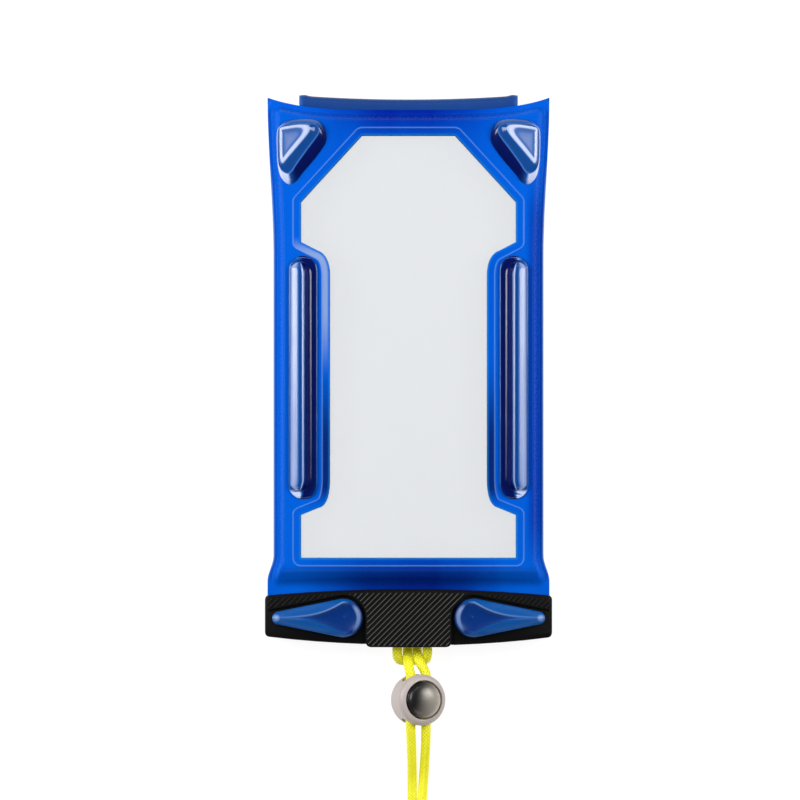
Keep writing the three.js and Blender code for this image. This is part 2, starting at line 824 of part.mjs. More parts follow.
const buttonEdge = lockFront + buttonProud;
const buttonProfile = [
  [0, webLevel],
  [buttonRadius, webLevel],
  [buttonRadius, buttonEdge],
];
for (let i = 1; i <= 5; i++) {
  const angle = (i / 5) * (Math.PI / 2);
  buttonProfile.push([(buttonRadius - 0.2) * Math.cos(angle), buttonEdge + buttonDome * Math.sin(angle)]);
}
const buttonSlot = block(
  -slotReach,
  slotReach,
  -2 * lockRadius,
  2 * lockRadius,
  -slotHalf,
  slotHalf + buttonTravel + clearance,
);
piece("lock_button", cut(lathed(buttonProfile, 32), [buttonSlot]), 0x3c3b3a, 0.35, 0.2, lock);

// Conical spring between the body's floor and the button's web
class SpringPath extends THREE.Curve {
  getPoint(t) {
    const angle = 2 * Math.PI * springTurns * t;
    const radius = THREE.MathUtils.lerp(springFoot, springHead, t);
    const low = floorLevel + clearance + springWire / 2;
    const high = webLevel - clearance - springWire / 2;
    const rise = THREE.MathUtils.lerp(low, high, t);
    return new THREE.Vector3(radius * Math.cos(angle), radius * Math.sin(angle), rise);
  }
}

piece("lock_spring", tube(new SpringPath(), springWire / 2, 40, 6), 0x9aa0a6, 0.35, 0.9, lock);

// Lanyard: a loop of cord hitched round the bail, two strands through the lock, and the rest in a coil
const alongBail = axisY - bailBelowAxis - bailWidth / 2;
const overBail = rearBarTop + cordRadius + clearance / 2;
const underBail = bailBottom - cordRadius - clearance / 2;
const throughSlot = bailInnerY + bailSlot / 2;
const bendLevel = cordRadius + clearance / 2;

// One side of the hitch: from under the bail, up through its slot and over it, then down to the bend that
// crosses behind the legs
const hitchSide = [
  [hitchLegs / 2, alongBail + 0.3, underBail],
  [hitchLegs / 2, bailInnerY + 0.4, underBail],
  [hitchLegs / 2 + 0.3, throughSlot - 0.5, underBail + 1.2],
  [hitchLegs / 2 + 1.1, throughSlot, (overBail + underBail) / 2],
  [hitchLegs / 2 + 2.1, throughSlot - 0.5, overBail - 1.2],
  [hitchLegs / 2 + 3, bailInnerY + 0.4, overBail],
  [hitchWidth * 0.49, alongBail - hitchDrop * 0.07, overBail],
  [hitchWidth / 2, alongBail - hitchDrop * 0.42, overBail - 0.3],
  [hitchWidth / 2, alongBail - hitchDrop * 0.7, overBail - 1.9],
  [hitchWidth * 0.46, alongBail - hitchDrop * 0.92, overBail - 4.3],
  [hitchWidth * 0.35, alongBail - hitchDrop, bendLevel + 0.6],
  [hitchWidth * 0.19, alongBail - hitchDrop, bendLevel],
];
const hitchPoints = [
  ...hitchSide.map(([x, y, z]) => new THREE.Vector3(hitchShift - x, y, z)),
  new THREE.Vector3(hitchShift, alongBail - hitchDrop, bendLevel),
  ...hitchSide.map(([x, y, z]) => new THREE.Vector3(hitchShift + x, y, z)).reverse(),
];
piece("lanyard_hitch", tube(new THREE.CatmullRomCurve3(hitchPoints), cordRadius, 56), cordYellow, 0.7);

// The strands, from the hitch's legs to the coil
const strandLift = strandSpread * Math.sin(lockTilt);
const strandRun = strandSpread * Math.cos(lockTilt);
const strandLevel = lock.position.z;
const coilLevel = coilLift + cordRadius;
const coilEntryX = 1.5;
const leftStrand = [
  [hitchShift - hitchLegs / 2, alongBail, underBail],
  [-0.45, -109.7, underBail],
  [-0.42, -112.2, underBail + 2],
  [-0.3, -115, underBail + 5.2],
  [0.05, -117.6, underBail + 8.1],
  [0.4, -119.6, strandLevel + strandLift - 0.4],
  [lockX - strandRun, -121.6, strandLevel + strandLift],
  [lockX - strandRun, -126, strandLevel + strandLift],
  [lockX - strandRun, -137, strandLevel + strandLift],
  [lockX - strandRun, -141.6, strandLevel + strandLift],
  [1.1, -148, strandLevel + strandLift - 2.1],
  [1.35, -156, 6.6],
  [1.45, -164, 3.4],
  [coilEntryX, -171, coilLevel],
  [coilEntryX, -179, coilLevel],
  [coilEntryX, -186, coilLevel],
];
const rightStrand = [
  [hitchShift + hitchLegs / 2, alongBail, underBail],
  [3.47, -109.7, underBail],
  [3.5, -112, underBail + 1.9],
  [3.75, -114.6, underBail + 4.9],
  [4.9, -117.2, underBail + 6.6],
  [6.2, -119.4, strandLevel - strandLift - 0.2],
  [lockX + strandRun, -121.6, strandLevel - strandLift],
  [lockX + strandRun, -126, strandLevel - strandLift],
  [lockX + strandRun, -137, strandLevel - strandLift],
  [lockX + strandRun, -141.6, strandLevel - strandLift],
  [6.9, -148, strandLevel - strandLift - 1.2],
  [6.5, -156, 5],
  [6, -164, 2.9],
  [5.5, -171, coilLevel + 0.3],
  [4.9, -176, coilLevel + 1.4],
  [4.3, -181, coilLevel + 2.85],
];

function strand(points, steps) {
  return tube(new THREE.CatmullRomCurve3(points.map((p) => new THREE.Vector3(...p))), cordRadius, steps);
}

piece("lanyard_strand_left", strand(leftStrand, 22), cordYellow, 0.7);
piece("lanyard_strand_right", strand(rightStrand, 22), cordYellow, 0.7);

// Coil of the unseen length, two layers high, and its tie
const coilHalf = (coilTurns / 2) * cordPitch;
const coilCentreX = coilEntryX + coilMidRadius + coilHalf - cordPitch / 2;
const coilInner = coilMidRadius - coilHalf;
const coilOuter = coilMidRadius + coilHalf;
const coilTop = coilLift + 2 * cordPitch;
const coilEdge = 1.2;
const coilProfile = [
  [coilInner, coilLift + coilEdge],
  [coilInner + coilEdge, coilLift],
  [coilOuter - coilEdge, coilLift],
  [coilOuter, coilLift + coilEdge],
  [coilOuter, coilTop - coilEdge],
  [coilOuter - coilEdge, coilTop],
  [coilInner + coilEdge, coilTop],
  [coilInner, coilTop - coilEdge],
  [coilInner, coilLift + coilEdge],
];
const coil = new THREE.Group();
coil.position.set(coilCentreX, coilCentreY, 0);
pouch.add(coil);
piece("lanyard_coil", lathed(coilProfile, 36), cordYellow, 0.7, 0, coil);

const tieIn = Math.sqrt(coilInner ** 2 - (tieWidth / 2) ** 2) - clearance;
const tieOut = coilOuter + clearance;
const tieBottom = coilLift - clearance;
const tieTop = coilTop + clearance;
const [strapIn, strapOut] = [tieIn - tieThick, tieOut + tieThick];
const strap = block(strapIn, strapOut, -tieWidth / 2, tieWidth / 2, tieBottom - tieThick, tieTop + tieThick);
const tie = cut(strap, [block(tieIn, tieOut, -tieWidth, tieWidth, tieBottom, tieTop)]);
piece("coil_tie", tie, 0x18191b, 0.7, 0, coil);

export default pouch;
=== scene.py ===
"""A waterproof phone pouch lying on its back: blue moulded film round clear windows, air cushions, a black
clamp with two twist levers, and a braided neck cord with a sprung lock.

Metres, with +Z up and +Y away from the clamp."""
import json
import math

import bmesh
import bpy
import numpy as np
from mathutils import Matrix, Vector


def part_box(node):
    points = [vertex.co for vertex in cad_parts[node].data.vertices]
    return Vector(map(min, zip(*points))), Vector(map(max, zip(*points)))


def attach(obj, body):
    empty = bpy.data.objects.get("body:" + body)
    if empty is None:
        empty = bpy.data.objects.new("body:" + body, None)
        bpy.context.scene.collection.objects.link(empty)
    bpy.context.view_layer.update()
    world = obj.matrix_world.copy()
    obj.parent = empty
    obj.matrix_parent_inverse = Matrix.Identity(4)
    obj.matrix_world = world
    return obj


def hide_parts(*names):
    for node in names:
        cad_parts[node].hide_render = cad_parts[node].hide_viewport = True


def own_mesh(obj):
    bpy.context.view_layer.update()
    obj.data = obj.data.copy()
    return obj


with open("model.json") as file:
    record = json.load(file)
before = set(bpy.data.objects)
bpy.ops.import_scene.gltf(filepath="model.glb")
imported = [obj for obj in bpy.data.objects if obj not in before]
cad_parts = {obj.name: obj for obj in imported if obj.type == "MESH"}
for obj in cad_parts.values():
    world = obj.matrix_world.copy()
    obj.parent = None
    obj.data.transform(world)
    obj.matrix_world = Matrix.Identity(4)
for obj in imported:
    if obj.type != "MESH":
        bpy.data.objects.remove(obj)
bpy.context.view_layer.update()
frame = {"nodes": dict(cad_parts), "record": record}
MM = 0.001

# Places taken from the frame
joints = {joint["name"]: joint for joint in frame["record"]["behaviour"]["joints"]}
LEVER_SPREAD, AXIS_Y, _ = joints["right_lever_turn"]["pos_m"]
TOP_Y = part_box("rear_top_cushion")[1].y
FILM_LOW, FILM_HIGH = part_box("front_frame")
REAR_LOW, REAR_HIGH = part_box("rear_frame")
FRONT_FACE = FILM_HIGH.z
REAR_FACE = REAR_LOW.z
EAR_HALF = FILM_HIGH.x
MOUTH_Y = FILM_LOW.y

# Film
FILM_THICK = 0.8 * MM
SEAM_LEVEL = (FILM_LOW.z + REAR_HIGH.z) / 2
SEAM_WIDTH = 1.4 * MM
WALL_RUN = 3.2 * MM
WALL_CORNER = 6 * MM
EAR_FLARE = 2.4 * MM
EAR_FLARE_LENGTH = 65 * MM
EAR_RISE = 5 * MM
TOP_EDGE_INSET = 6 * MM
MOUTH_FLARE = 2.4 * MM
MOUTH_FLARE_LENGTH = 10 * MM
MOUTH_SHOULDER = 24.7 * MM
MOUTH_LEVEL = 3.3 * MM  # below the window, before the film slopes down to the mouth
MOUTH_SLOPE = 8.4 * MM
WAIST_HALF = EAR_HALF - EAR_FLARE
WELD_INSET = 3.1 * MM  # raised weld line from the window's edge
WELD_HALF = 0.3125 * MM
WELD_HEIGHT = 0.3 * MM
EDGE_ROUND = 0.5 * MM
FILM_IOR = 1.5

# Window
WINDOW_TOP = TOP_Y - 16.2 * MM
WINDOW_FOOT = AXIS_Y + 23.9 * MM
WINDOW_TOP_HALF = 18.6 * MM
WINDOW_WIDE_HALF = 43 * MM
WINDOW_NARROW_HALF = 31.4 * MM
CHAMFER_DROP = 26.6 * MM
STEP_Y = WINDOW_TOP - 42.6 * MM
STEP_SLOPE = 3.4 * MM
STEP_RUN = 6.6 * MM
STEP_ROUND = 10.2 * MM
FOOT_Y = WINDOW_FOOT + 17.2 * MM
FOOT_SLOPE = 3 * MM
FOOT_RUN = 7.4 * MM
FOOT_ROUND = 11.6 * MM
WINDOW_LAP = 3 * MM

# Cord and its coil
CORD_RADIUS = 1.98 * MM  # at the tops of its yarns
CORD_PITCH = 3.7 * MM
COIL_RADIUS = 23.7 * MM  # middle of the outer turn
COIL_X = 25.2 * MM
COIL_Y = -200 * MM
COIL_LEVELS = (2.6 * MM, 6.3 * MM)
BRAID_YARNS = 8
BRAID_STEP = 1.5 * MM
BRAID_DEPTH = 0.24 * MM
FILAMENTS = 4  # seen side by side in a yarn


# Shader values


class Wire:
    """A value on its way to a shader. Sums on it add the nodes that work them out."""

    def __init__(self, finish, socket):
        self.finish = finish
        self.socket = socket

    def maths(self, operation, *terms):
        return self.finish.add("ShaderNodeMath", {"operation": operation}, dict(enumerate(terms)))

    def __add__(self, other):
        return self.maths("ADD", self, other)

    def __sub__(self, other):
        return self.maths("SUBTRACT", self, other)

    def __rsub__(self, other):
        return self.maths("SUBTRACT", other, self)

    def __mul__(self, other):
        return self.maths("MULTIPLY", self, other)

    def __mod__(self, other):
        return self.maths("FLOORED_MODULO", self, other)

    __radd__ = __add__
    __rmul__ = __mul__

    def __abs__(self):
        return self.maths("ABSOLUTE", self)

    def sine(self):
        return self.maths("SINE", self)

    def floor(self):
        return self.maths("FLOOR", self)

    def __pow__(self, other):
        return self.maths("POWER", self, other)

    def exponential(self):
        return self.maths("EXPONENT", self)

    def at_least(self, low):
        return self.maths("MAXIMUM", self, low)

    def between(self, low, high):
        """0 at low, 1 at high and smooth between them."""
        settings = {"interpolation_type": "SMOOTHSTEP"}
        return self.finish.add("ShaderNodeMapRange", settings, {0: self, 1: low, 2: high})

    def within(self, full, none):
        """1 up to full either side of zero, 0 from none on."""
        return 1 - abs(self).between(full, none)


class Finish:
    """A material as it is made. add puts in a node and gives what comes out of it."""

    def __init__(self, name):
        self.material = bpy.data.materials.new(name)
        self.material.use_nodes = True
        self.tree = self.material.node_tree
        self.tree.nodes.clear()
        self.place = self.add("ShaderNodeTexCoord", output="Object")

    def add(self, kind, settings=None, inputs=None, output=0):
        node = self.tree.nodes.new(kind)
        for name, value in (settings or {}).items():
            setattr(node, name, value)
        for name, value in (inputs or {}).items():
            if isinstance(value, Wire):
                self.tree.links.new(value.socket, node.inputs[name])
            else:
                node.inputs[name].default_value = value
        return Wire(self, node.outputs[output]) if node.outputs else None

    def axes(self):
        """How far a point lies along X, Y and Z."""
        node = self.add("ShaderNodeSeparateXYZ", inputs={0: self.place}).socket.node
        return [Wire(self, socket) for socket in node.outputs]

    def stretched(self, *scales):
        """Where a point lies, with a scale for each axis."""
        return self.add("ShaderNodeMapping", inputs={"Vector": self.place, "Scale": scales})

    def noise(self, scale, detail=3.0, vector=None):
        inputs = {"Vector": vector or self.place, "Scale": scale, "Detail": detail}
        return self.add("ShaderNodeTexNoise", inputs=inputs)

    def stored(self, name):
        """A value kept with the piece's points."""
        return self.add("ShaderNodeAttribute", {"attribute_name": name}, output="Fac")

    def mixed(self, share, first, second):
        """A colour between two."""
        first, second = (tint if isinstance(tint, Wire) else (*tint, 1) for tint in (first, second))
        return self.add("ShaderNodeMix", {"data_type": "RGBA"}, {0: share, 6: first, 7: second}, output=2)

    def bump(self, height, distance, strength=1.0):
        inputs = {"Height": height, "Distance": distance, "Strength": strength}
        return self.add("ShaderNodeBump", inputs=inputs)

    def shader(self, **sockets):
        """A Principled shader; a socket's name has _ for a space."""
        inputs = {name.replace("_", " "): value for name, value in sockets.items()}
        for name, value in inputs.items():
            if isinstance(value, tuple) and len(value) == 3:
                inputs[name] = (*value, 1)
        return self.add("ShaderNodeBsdfPrincipled", inputs=inputs)

    def close(self, shader):
        self.add("ShaderNodeOutputMaterial", inputs={"Surface": shader})
        return self.material


# Finishes


def film_blue():
    """Tinted film with painted light and shade: painted bright at the sides, as if light came through it
    there, and painted deep shade over the middle of both ends; painted shadows and highlights follow.
    """
    f = Finish("film_blue")
    x, y, _ = f.axes()
    down = y * -1
    # The film's lit blue and a painted deep shade; a painted near-black shade for the mouth and the clamp's
    # edge; a painted shadow and a painted highlight for the strips beside the side cushions.
    bright, deep_shade = (0.0008, 0.1, 0.6), (0.0004, 0.009, 0.27)
    shade_navy, shadow, film_highlight = (0.001, 0.002, 0.025), (0.002, 0.007, 0.09), (0.26, 0.36, 0.6)
    # Painted highlights for the window's rim and the film's outer edge, and the weld's paler tone with a
    # painted highlight.
    rim_highlight, weld_tint_and_highlight, edge_highlight_tint = (0.01, 0.28, 0.72), (0.12, 0.32, 0.8), (0.3, 0.48, 0.8)
    # Painted shade: deepest over the middle of the mouth and the brow, and down the strip on the right-hand
    # side.
    middle = x.within(8 * MM, 50 * MM)
    mouth = down.between(-WINDOW_FOOT - 2 * MM, -WINDOW_FOOT + 12 * MM)
    brow = y.between(WINDOW_TOP - 4 * MM, WINDOW_TOP + 12 * MM)
    right = x.between(46 * MM, 50 * MM) * y.within(58 * MM, 84 * MM)
    cloud = f.noise(22, detail=2)
    streak = f.noise(9, detail=1, vector=f.stretched(14, 0.7, 1))
    tone = middle * (mouth * 0.3 + brow * 0.5 + 0.45) + right * 0.6
    tone = tone + (cloud - 0.5) * 0.2 + (streak - 0.5) * 0.25
    blue = f.mixed(tone, bright, deep_shade)
    # Painted near-black shadow over the middle of the mouth and along the clamp's edge.
    contact_shade = down.between(-MOUTH_Y - 6 * MM, -MOUTH_Y - 2 * MM)
    blue = f.mixed(middle * mouth * 0.45 + contact_shade * 0.4, blue, shade_navy)
    gap = f.stored("window_gap")
    # Painted shadow along the window's edge beside the lower parts of both side cushions, and a painted
    # highlight beside the upper part of the left-hand one.
    strip = (1 - gap.between(3 * MM, 3.6 * MM)) * y.within(46 * MM, 54 * MM)
    blue = f.mixed(strip * (1 - y.between(-30 * MM, 8 * MM)) * 0.85, blue, shadow)
    lit = strip * y.between(-4 * MM, 26 * MM) * (1 - x.between(-10 * MM, 10 * MM))
    blue = f.mixed(lit * gap.between(0.2 * MM, 1.4 * MM) * 0.8, blue, film_highlight)
    # Painted highlights along the window's rim and the film's outer edge, and along the weld its paler tone
    # with a painted highlight.
    blue = f.mixed(gap.within(0.0, 1.1 * MM) * 0.4, blue, rim_highlight)
    blue = f.mixed((gap - WELD_INSET).within(0.1 * MM, 0.45 * MM) * 0.45, blue, weld_tint_and_highlight)
    edge_highlight = f.stored("edge_gap").within(0.1 * MM, 0.8 * MM) * y.within(70 * MM, 86 * MM)
    blue = f.mixed(edge_highlight * 0.7, blue, edge_highlight_tint)
    rough = f.noise(900, detail=2) * 0.05 + 0.25
    normal = f.bump(cloud, 0.25 * MM, 0.3)
    return f.close(f.shader(Base_Color=blue, Roughness=rough, Specular_IOR_Level=0.035, Normal=normal))


def cushion_blue(name, rough, coat):
    """The same film blown into a tight hollow, with painted shade on its steep inner sides and a painted pale
    highlight where its stored depth is below zero.
    """
    f = Finish(name)
    # The film's blue, a painted deep shade and a painted pale highlight, picked by the stored depth: painted
    # shade above zero, painted highlight below zero.
    full, deep_shade, stretched = (0.008, 0.085, 0.34), (0.0, 0.0045, 0.085), (0.56, 0.64, 0.9)
    depth = f.stored("depth")
    cloud = f.noise(60, detail=2) - 0.5
    highlight_share = (depth * -1).between(-0.05, 1.0)
    blue = f.mixed(depth + cloud * 0.2, full, deep_shade)
    blue = f.mixed(highlight_share + cloud * highlight_share * 0.5, blue, stretched)
    ripple = f.noise(35, detail=3)
    return f.close(
        f.shader(
            Base_Color=blue,
            Roughness=ripple * 0.05 + rough,
            Specular_IOR_Level=0.2,
            Normal=f.bump(ripple, 0.5 * MM, 0.35),
            Coat_Weight=coat,
            Coat_Roughness=0.16,
        )
    )


def clear_film():
    """Clear window film with the faintest milkiness and long soft ripples."""
    f = Finish("clear_film")
    ripple = f.noise(16, detail=2, vector=f.stretched(1.6, 0.5, 1))
    normal = f.bump(ripple, 1.2 * MM, 0.4)
    rough = ripple * 0.04 + 0.05
    gloss = f.shader(Base_Color=(0.62, 0.66, 0.7), Roughness=rough, IOR=FILM_IOR, Normal=normal)
    clear = f.add("ShaderNodeBsdfTransparent", inputs={"Color": (0.985, 0.988, 0.992, 1)})
    sheen = f.add("ShaderNodeFresnel", inputs={"IOR": FILM_IOR, "Normal": normal})
    milk = ripple * 0.015 + 0.03
    return f.close(f.add("ShaderNodeMixShader", inputs={0: sheen * 0.85 + milk, 1: clear, 2: gloss}))


def moulded(name, colour, rough, grain_scale=1400, grain_depth=0.02 * MM, **more):
    """Moulded plastic with a fine spark-eroded grain and a slightly uneven gloss."""
    f = Finish(name)
    grain = f.noise(grain_scale, detail=2)
    cloud = f.noise(45, detail=3)
    lighter = tuple(c * 1.5 + 0.002 for c in colour)
    tone = f.mixed((cloud * 0.6 + grain * 0.4) * 0.25, colour, lighter)
    rough = cloud * 0.12 + (rough - 0.06)
    normal = f.bump(grain, grain_depth, 0.6)
    return f.close(f.shader(Base_Color=tone, Roughness=rough, Normal=normal, **more))


def lever_blue():
    """Satin blue moulding, with painted shade in the thumb dish and painted highlights along its upper ridge,
    round its head and at its tip.
    """
    f = Finish("lever_blue")
    # The lever's blue, a painted shade and a painted pale highlight.
    full, deep_shade, lever_highlight = (0.0008, 0.075, 0.31), (0.0, 0.026, 0.17), (0.3, 0.48, 0.85)
    x, y, _ = f.axes()
    along, across = abs(x) - LEVER_SPREAD, y - AXIS_Y
    share = along.at_least(0.0) * (1 / LEVER_REACH)
    ridge = ((share * (1 / RIDGE_FALL)) ** RIDGE_POWER * -1).exponential() * RIDGE_HALF
    past = abs(across) - ridge
    # Painted shade in the thumb dish.
    dish = (1 - past.between(-1 * MM, 0.5 * MM)) * (1 - share.between(0.3, 0.9))
    grain = f.noise(700, detail=2)
    tone = f.mixed(dish + (grain - 0.5) * 0.1, full, deep_shade)
    # Painted highlights: along the upper ridge, in a crescent on the head and in a spot at the tip.
    upper = past.within(0.1 * MM, 0.6 * MM) * across.between(-1 * MM, 1 * MM)
    upper = upper * along.between(-2.5 * MM, 1 * MM) * (1 - share * 0.6)
    around = (along * along + across * across) ** 0.5
    head = (around - LEVER_HEAD * 0.8).within(0.3 * MM, 1.2 * MM)
    head = head * (along * -1).between(LEVER_HEAD * 0.4, LEVER_HEAD * 0.7)
    beyond = along - LEVER_REACH - 1 * MM
    tip = ((beyond * beyond + across * across) ** 0.5).within(0.4 * MM, 1.9 * MM)
    tone = f.mixed(upper * 0.45 + head * 0.4 + tip * 0.6, tone, lever_highlight)
    normal = f.bump(grain, 0.01 * MM, 0.5)
    return f.close(f.shader(Base_Color=tone, Roughness=0.36, Specular_IOR_Level=0.2, Normal=normal))


def ribbed_black():
    """The grip's plastic, with a painted highlight along the tops of its ribs, strongest over the middle of
    the plate.
    """
    f = Finish("grip_black")
    plain, rib_highlight = (0.0014, 0.0014, 0.0016), (0.085, 0.083, 0.078)
    x, _, z = f.axes()
    grain = f.noise(1500, detail=2)
    # Painted highlight on the ribs' tops, fading to a faint one towards both ends of the plate.
    crest = z.between(GRIP_TOP + 0.4 * RIB_HEIGHT, GRIP_TOP + 0.95 * RIB_HEIGHT)
    rib_highlight_spread = 1 - abs(x).between(19 * MM, 27 * MM) * 0.85
    tone = f.mixed(crest * rib_highlight_spread + grain * 0.05, plain, rib_highlight)
    rough = 0.45 - crest * 0.06
    normal = f.bump(grain, 0.02 * MM, 0.5)
    return f.close(f.shader(Base_Color=tone, Roughness=rough, Specular_IOR_Level=0.15, Normal=normal))


def braided_yellow():
    """Fluorescent braid: each yarn shows its filaments, the gaps between yarns are painted in a greenish
    shade, and a faint painted glow stands for the fluorescence.
    """
    f = Finish("cord_yellow")
    gap_shade, yarn_yellow, fibre = (0.42, 0.5, 0.0), (0.97, 0.9, 0.004), (1.0, 0.98, 0.1)
    uv = f.add("ShaderNodeUVMap", {"uv_map": "braid"})
    node = f.add("ShaderNodeSeparateXYZ", inputs={0: uv}).socket.node
    around, along = (Wire(f, socket) for socket in list(node.outputs)[:2])
    first, second = around + along, around - along
    over = (first.floor() + second.floor()) % 2
    swell_first, swell_second = (abs((side * math.pi).sine()) for side in (first, second))
    swell = swell_first * over + swell_second * (1 - over)
    threads = ((second * over + first * (1 - over)) * 2 * math.pi * FILAMENTS).sine() * 0.5 + 0.5
    fuzz = f.noise(2600, detail=3)
    # Painted greenish shade in the gaps between yarns.
    tone = f.mixed(swell.between(0.05, 0.7), gap_shade, yarn_yellow)
    tone = f.mixed(threads * 0.1 + fuzz * 0.12, tone, fibre)
    rough = 0.62 - swell * 0.12
    normal = f.bump(swell + threads * 0.15 + fuzz * 0.1, 0.16 * MM, 0.6)
    # A faint painted glow for the fluorescence.
    glow = {"Emission_Color": tone, "Emission_Strength": 0.1, "Sheen_Weight": 0.15, "Sheen_Roughness": 0.4}
    return f.close(f.shader(Base_Color=tone, Roughness=rough, Normal=normal, **glow))


def looped_tape():
    """Black hook and loop tape: a short fuzzy pile in rows."""
    f = Finish("tie_black")
    _, y, _ = f.axes()
    row_pitch = 0.6 * MM
    rows = (y * (2 * math.pi / row_pitch)).sine() * 0.5 + 0.5
    fuzz = f.noise(1800, detail=4)
    tone = f.mixed(fuzz * 0.5 + rows * 0.2, (0.004, 0.004, 0.005), (0.035, 0.035, 0.04))
    normal = f.bump(rows * 0.5 + fuzz, 0.12 * MM, 0.8)
    return f.close(f.shader(Base_Color=tone, Roughness=0.85, Normal=normal, Sheen_Weight=0.3))


def button_metalled():
    """The lock's button: smoky lacquered plastic, with a painted reflection that runs from dark on one side
    to a warm grey on the other.
    """
    f = Finish("button_dark")
    smoke, reflection_grey, slant = (0.012, 0.011, 0.011), (0.42, 0.38, 0.33), 0.25
    x, y, _ = f.axes()
    grain = f.noise(1600, detail=3)
    brushed = f.noise(300, detail=2, vector=f.stretched(1, 9, 1))
    # Painted reflection: dark on the upper left, rising to warm grey towards the lower right, along brushed
    # streaks.
    middle = LOCK_X - LOCK_Y * slant
    across = (x - y * slant + brushed * 0.8 * MM).between(middle - 1 * MM, middle + 9 * MM)
    tone = f.mixed(across, smoke, reflection_grey)
    rough = grain * 0.1 + 0.3
    normal = f.bump(grain, 0.015 * MM, 0.5)
    return f.close(f.shader(Base_Color=tone, Roughness=rough, Metallic=0.3, Normal=normal))


def drawn_wire():
    """Bright spring wire with fine drawing marks."""
    f = Finish("spring_steel")
    marks = f.noise(900, detail=2, vector=f.stretched(1, 1, 12))
    tone = f.mixed(marks, (0.5, 0.51, 0.53), (0.66, 0.67, 0.69))
    return f.close(f.shader(Base_Color=tone, Metallic=1.0, Roughness=marks * 0.15 + 0.2))


# Meshes


def outward(mesh, gap=1e-7):
    """Merges a closed mesh's doubled points and turns its faces out."""
    made = bmesh.new()
    made.from_mesh(mesh)
    bmesh.ops.remove_doubles(made, verts=made.verts, dist=gap)
    bmesh.ops.dissolve_degenerate(made, edges=made.edges, dist=gap)
    bmesh.ops.recalc_face_normals(made, faces=made.faces)
    made.to_mesh(mesh)
    made.free()


def piece(name, mesh, finish, body, stands_for=(), smooth=True):
    """Puts a finished mesh in the scene, on its body and in the place of the nodes that it stands for."""
    made = bpy.data.objects.new(name, mesh)
    bpy.context.scene.collection.objects.link(made)
    if smooth:
        mesh.shade_smooth()
    mesh.materials.clear()
    mesh.materials.append(finish)
    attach(made, body)
    if stands_for:
        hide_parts(*stands_for)
    return made


def smoothed(made):
    """Smooth faces that meet at sharp edges."""
    made.data.set_sharp_from_angle(angle=math.radians(32))


def grid_faces(rows, columns, round_rows, round_columns):
    """Four-sided faces over a grid of points, closed on itself where it goes round."""
    faces = []
    for i in range(rows if round_rows else rows - 1):
        here, ahead = i * columns, (i + 1) % rows * columns
        for j in range(columns if round_columns else columns - 1):
            k = (j + 1) % columns
            faces.append((here + j, ahead + j, ahead + k, here + k))
    return faces


def skin(name, grid, round_rows=False, round_columns=True, ends=False, values=None):
    """A mesh over a grid of points in rows and columns. values holds one number a point for each name."""
    grid = np.asarray(grid, float)
    rows, columns = grid.shape[:2]
    faces = grid_faces(rows, columns, round_rows, round_columns)
    if ends:
        faces.append(tuple(range(columns)))
        faces.append(tuple(range(rows * columns - 1, (rows - 1) * columns - 1, -1)))
    mesh = bpy.data.meshes.new(name)
    mesh.from_pydata(grid.reshape(-1, 3).tolist(), [], faces)
    for value, numbers in (values or {}).items():
        layer = mesh.attributes.new(value, "FLOAT", "POINT")
        layer.data.foreach_set("value", np.asarray(numbers, np.float32).ravel())
    outward(mesh)
    return mesh


def smooth_step(t):
    """0 up to 0, 1 from 1 on and smooth between them."""
    t = np.clip(t, 0, 1)
    return t * t * (3 - 2 * t)


def refined(name, node, finish, body, edge):
    """A copy of a CAD node with rounded edges, which stands for it."""
    mesh = frame["nodes"][node].data.copy()
    mesh.name = name
    for layer in list(mesh.attributes):
        if layer.name.startswith("custom_normal"):
            mesh.attributes.remove(layer)
    made = bmesh.new()
    made.from_mesh(mesh)
    bmesh.ops.remove_doubles(made, verts=made.verts, dist=2e-6)
    bmesh.ops.dissolve_limit(made, angle_limit=math.radians(0.5), verts=made.verts, edges=made.edges)
    made.to_mesh(mesh)
    made.free()
    copy = piece(name, mesh, finish, body, [node])
    rounding = copy.modifiers.new("rounding", "BEVEL")
    rounding.width = edge
    rounding.segments = 3
    rounding.limit_method = "ANGLE"
    rounding.angle_limit = math.radians(30)
    rounding.harden_normals = True
    return copy


# Camera, light and floor


def set_camera():
    """Straight above the pouch with a long lens, up towards the closed end."""
    view_width = 320 * MM
    view_level = 10 * MM
    distance = 4.0
    lens = bpy.data.cameras.new("camera")
    lens.sensor_width = 36
    lens.lens = lens.sensor_width * distance / view_width
    lens.clip_start = 0.05
    lens.clip_end = 20
    camera = bpy.data.objects.new("camera", lens)
    camera.location = (-3.4 * MM, -11.6 * MM, view_level + distance)
    bpy.context.scene.collection.objects.link(camera)
    bpy.context.scene.camera = camera


def softbox(name, place, target, size, power):
    """A soft rectangular lamp that faces its target."""
    light = bpy.data.lights.new(name, "AREA")
    light.shape = "RECTANGLE"
    light.size, light.size_y = size
    light.energy = power
    lamp = bpy.data.objects.new(name, light)
    lamp.location = place
    lamp.rotation_euler = (Vector(target) - Vector(place)).to_track_quat("-Z", "Y").to_euler()
    bpy.context.scene.collection.objects.link(lamp)


